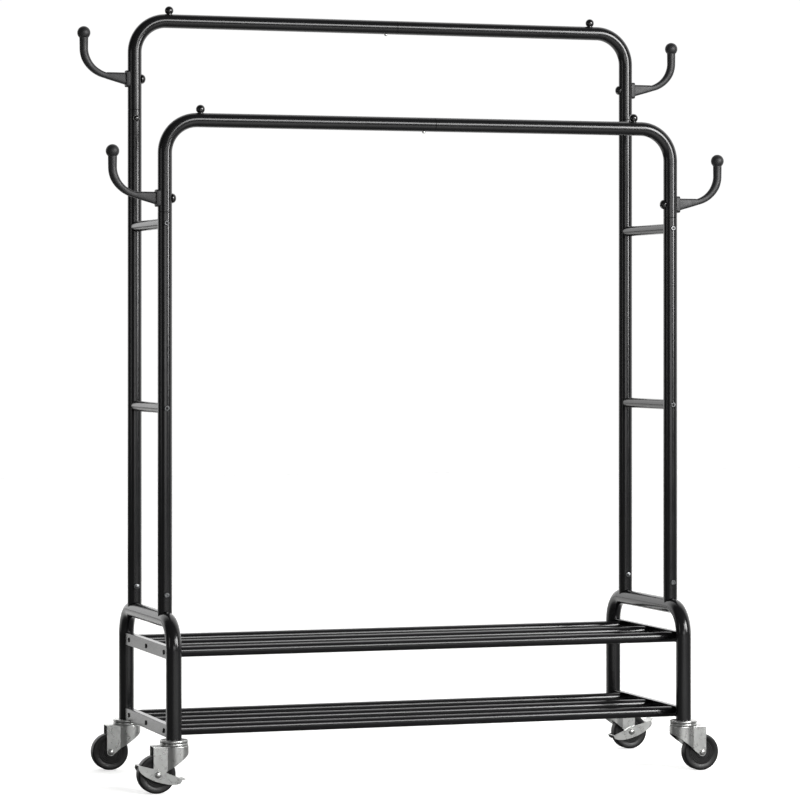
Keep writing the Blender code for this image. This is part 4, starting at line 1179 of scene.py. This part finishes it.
def make_lever(depth, side, tilt):
    """A rocking brake lever that straddles its fork, its pedal towards +X."""
    place = "%s_%s" % (depth, side)
    axle = centre("caster_wheel_" + place)
    lean = math.radians(tilt)
    along = X_AXIS * math.cos(lean) + Z_AXIS * math.sin(lean)
    across = Z_AXIS * math.cos(lean) - X_AXIS * math.sin(lean)
    inner = 2 * (FORK_HALF_W + FIT)
    span = inner + 2 * LEVER_SHEET
    belly = []
    steps = 32
    for step in range(steps + 1):
        angle = math.pi * step / steps
        reach = -(LEVER_HEEL if step < steps / 2 else LEVER_TOE) * math.cos(angle)
        belly.append((reach, LEVER_END / 2 - (LEVER_BELLY + LEVER_END / 2) * math.sin(angle)))
    top = eased([(LEVER_TOE, LEVER_TOE_TOP), (LEVER_TOE * 0.4, LEVER_TOE_TOP + 1.5 * MM),
                 (0, LEVER_CROWN), (-LEVER_HEEL * 0.4, LEVER_HEEL_TOP + 2 * MM),
                 (-LEVER_HEEL, LEVER_HEEL_TOP)], LEVER_CROWN_ROUND, steps=8)
    lever = plate("brake_pressing_" + place, [*belly, *top], axle, along, across, span, ZINC)
    tread = half_size("caster_wheel_" + place, 2) + LEVER_TREAD_GAP
    below = -2 * LEVER_BELLY
    above = 2 * LEVER_CROWN
    far = 2 * LEVER_TOE
    slot = plate("slot", ((-far, below), (far, below), (far, LEVER_TOE_TOP - LEVER_SHEET),
                          (tread, LEVER_TOE_TOP - LEVER_SHEET), (tread, above), (-tread, above),
                          (-tread, LEVER_HEEL_TOP - LEVER_SHEET), (-far, LEVER_HEEL_TOP - LEVER_SHEET)),
                 axle, along, across, inner, ZINC)
    cut_with(lever, slot)
    low = LEVER_TOE_TOP - LEVER_SHEET + 0.1 * MM
    high = LEVER_TOE_TOP - 0.1 * MM
    root = LEVER_TOE - PEDAL_ROOT
    tip = LEVER_TOE + LEVER_PEDAL
    curl = LEVER_TOE_TOP + LEVER_SHEET
    sheet = eased([(root, low), (LEVER_TOE + 2 * MM, low), (tip, curl), (tip - MM, curl + LEVER_SHEET),
                   (LEVER_TOE + MM, high), (root, high)], PEDAL_ROUND, steps=5, closed=True)
    pedal = plate("pedal", sheet, axle, along, across, 2 * FORK_HALF_W, ZINC)
    cut_with(lever, pedal, "UNION")
    soften(lever, PRESSED_EDGE)
    settle(lever, "brake_" + place, "zinc", "brake_lever_" + place)


def make_rack():
    for side, sign in SIDES:
        make_side_tubes(side)
        for depth, _ in DEPTHS:
            make_hook(depth, side, sign)
            make_knob(depth, side)
    for depth, _ in DEPTHS:
        make_rail(depth)
        make_rail_screw(depth)
    for tier in TIERS:
        make_shelf(tier)
    make_screws()


def make_casters():
    wheel_low, wheel_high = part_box("caster_wheel_front_left")
    axle_z = (wheel_low.z + wheel_high.z) / 2
    fork_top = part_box("caster_fork_front_left")[1].z - RACE_H
    race_r = half_size("caster_stem_front_left", 0)
    sources = {"fork": fork_source(fork_top, axle_z),
               "race": race_source(fork_top, race_r),
               "stem": stem_source(fork_top, LEG_FOOT_Z, race_r),
               "wheel": wheel_source(axle_z, half_size("caster_wheel_front_left", 1))}
    for depth, _ in DEPTHS:
        for side, sign in SIDES:
            make_caster(depth, side, sign, sources)
    for (depth, side), tilt in PEDAL_TILTS.items():
        make_lever(depth, side, tilt)
    for source in sources.values():
        bpy.data.objects.remove(source, do_unlink=True)


def make_floor():
    mesh = bmesh.new()
    corners = []
    for u, v in ((-1, -1), (1, -1), (1, 1), (-1, 1)):
        corners.append(mesh.verts.new((u * FLOOR_REACH, v * FLOOR_REACH, -FLOOR_DROP)))
    mesh.faces.new(corners)
    floor = new_item("studio_floor", mesh, painted_floor())


def make_softbox(name, place, aim, width, height, radiance):
    """A soft area lamp of a real size; its power follows from how bright its face looks."""
    lamp = bpy.data.lights.new(name, "AREA")
    lamp.shape = "RECTANGLE"
    lamp.size = width
    lamp.size_y = height
    lamp.energy = radiance * math.pi * width * height
    item = bpy.data.objects.new(name, lamp)
    item.location = place
    item.rotation_euler = (Vector(place) - Vector(aim)).to_track_quat("Z", "Y").to_euler()
    bpy.context.collection.objects.link(item)


def make_studio_world():
    """A white sweep behind the rack and a dim room before it, seen plain white by the camera."""
    world = bpy.data.worlds.new("studio")
    world.use_nodes = True
    tree = world.node_tree
    tree.nodes.clear()
    heading = add_node(tree, "ShaderNodeTexCoord").outputs["Generated"]
    facing = add_node(tree, "ShaderNodeVectorMath", {1: SWEEP_HEADING}, {0: heading},
                      operation="DOT_PRODUCT")
    share = add_node(tree, "ShaderNodeMapRange",
                     {"From Min": 0.12, "From Max": 0.5, "To Min": 0.07, "To Max": 1.4},
                     {"Value": facing.outputs["Value"]}, interpolation_type="SMOOTHSTEP")
    seen = add_node(tree, "ShaderNodeLightPath").outputs["Is Camera Ray"]
    strength = add_node(tree, "ShaderNodeMix", {"B": 1.02}, {"Factor": seen, "A": share.outputs["Result"]})
    glow = add_node(tree, "ShaderNodeBackground", {"Color": (1.0, 1.0, 1.0, 1.0)},
                    {"Strength": strength.outputs["Result"]})
    add_node(tree, "ShaderNodeOutputWorld", links={"Surface": glow.outputs["Background"]})
    bpy.context.scene.world = world


def make_studio():
    make_floor()
    make_studio_world()
    for lamp in LAMPS:
        make_softbox(*lamp)
    bpy.context.scene.view_settings.view_transform = "Standard"


def make_camera():
    data = bpy.data.cameras.new("camera")
    data.lens = CAMERA_LENS_MM
    data.sensor_width = CAMERA_SENSOR_MM
    data.shift_y = CAMERA_SHIFT
    data.clip_end = CAMERA_REACH
    item = bpy.data.objects.new("camera", data)
    item.location = CAMERA_PLACE
    item.rotation_euler = (math.radians(90.0), 0.0, CAMERA_HEADING)
    bpy.context.collection.objects.link(item)
    bpy.context.scene.camera = item


make_camera()
make_rack()
make_casters()
make_studio()
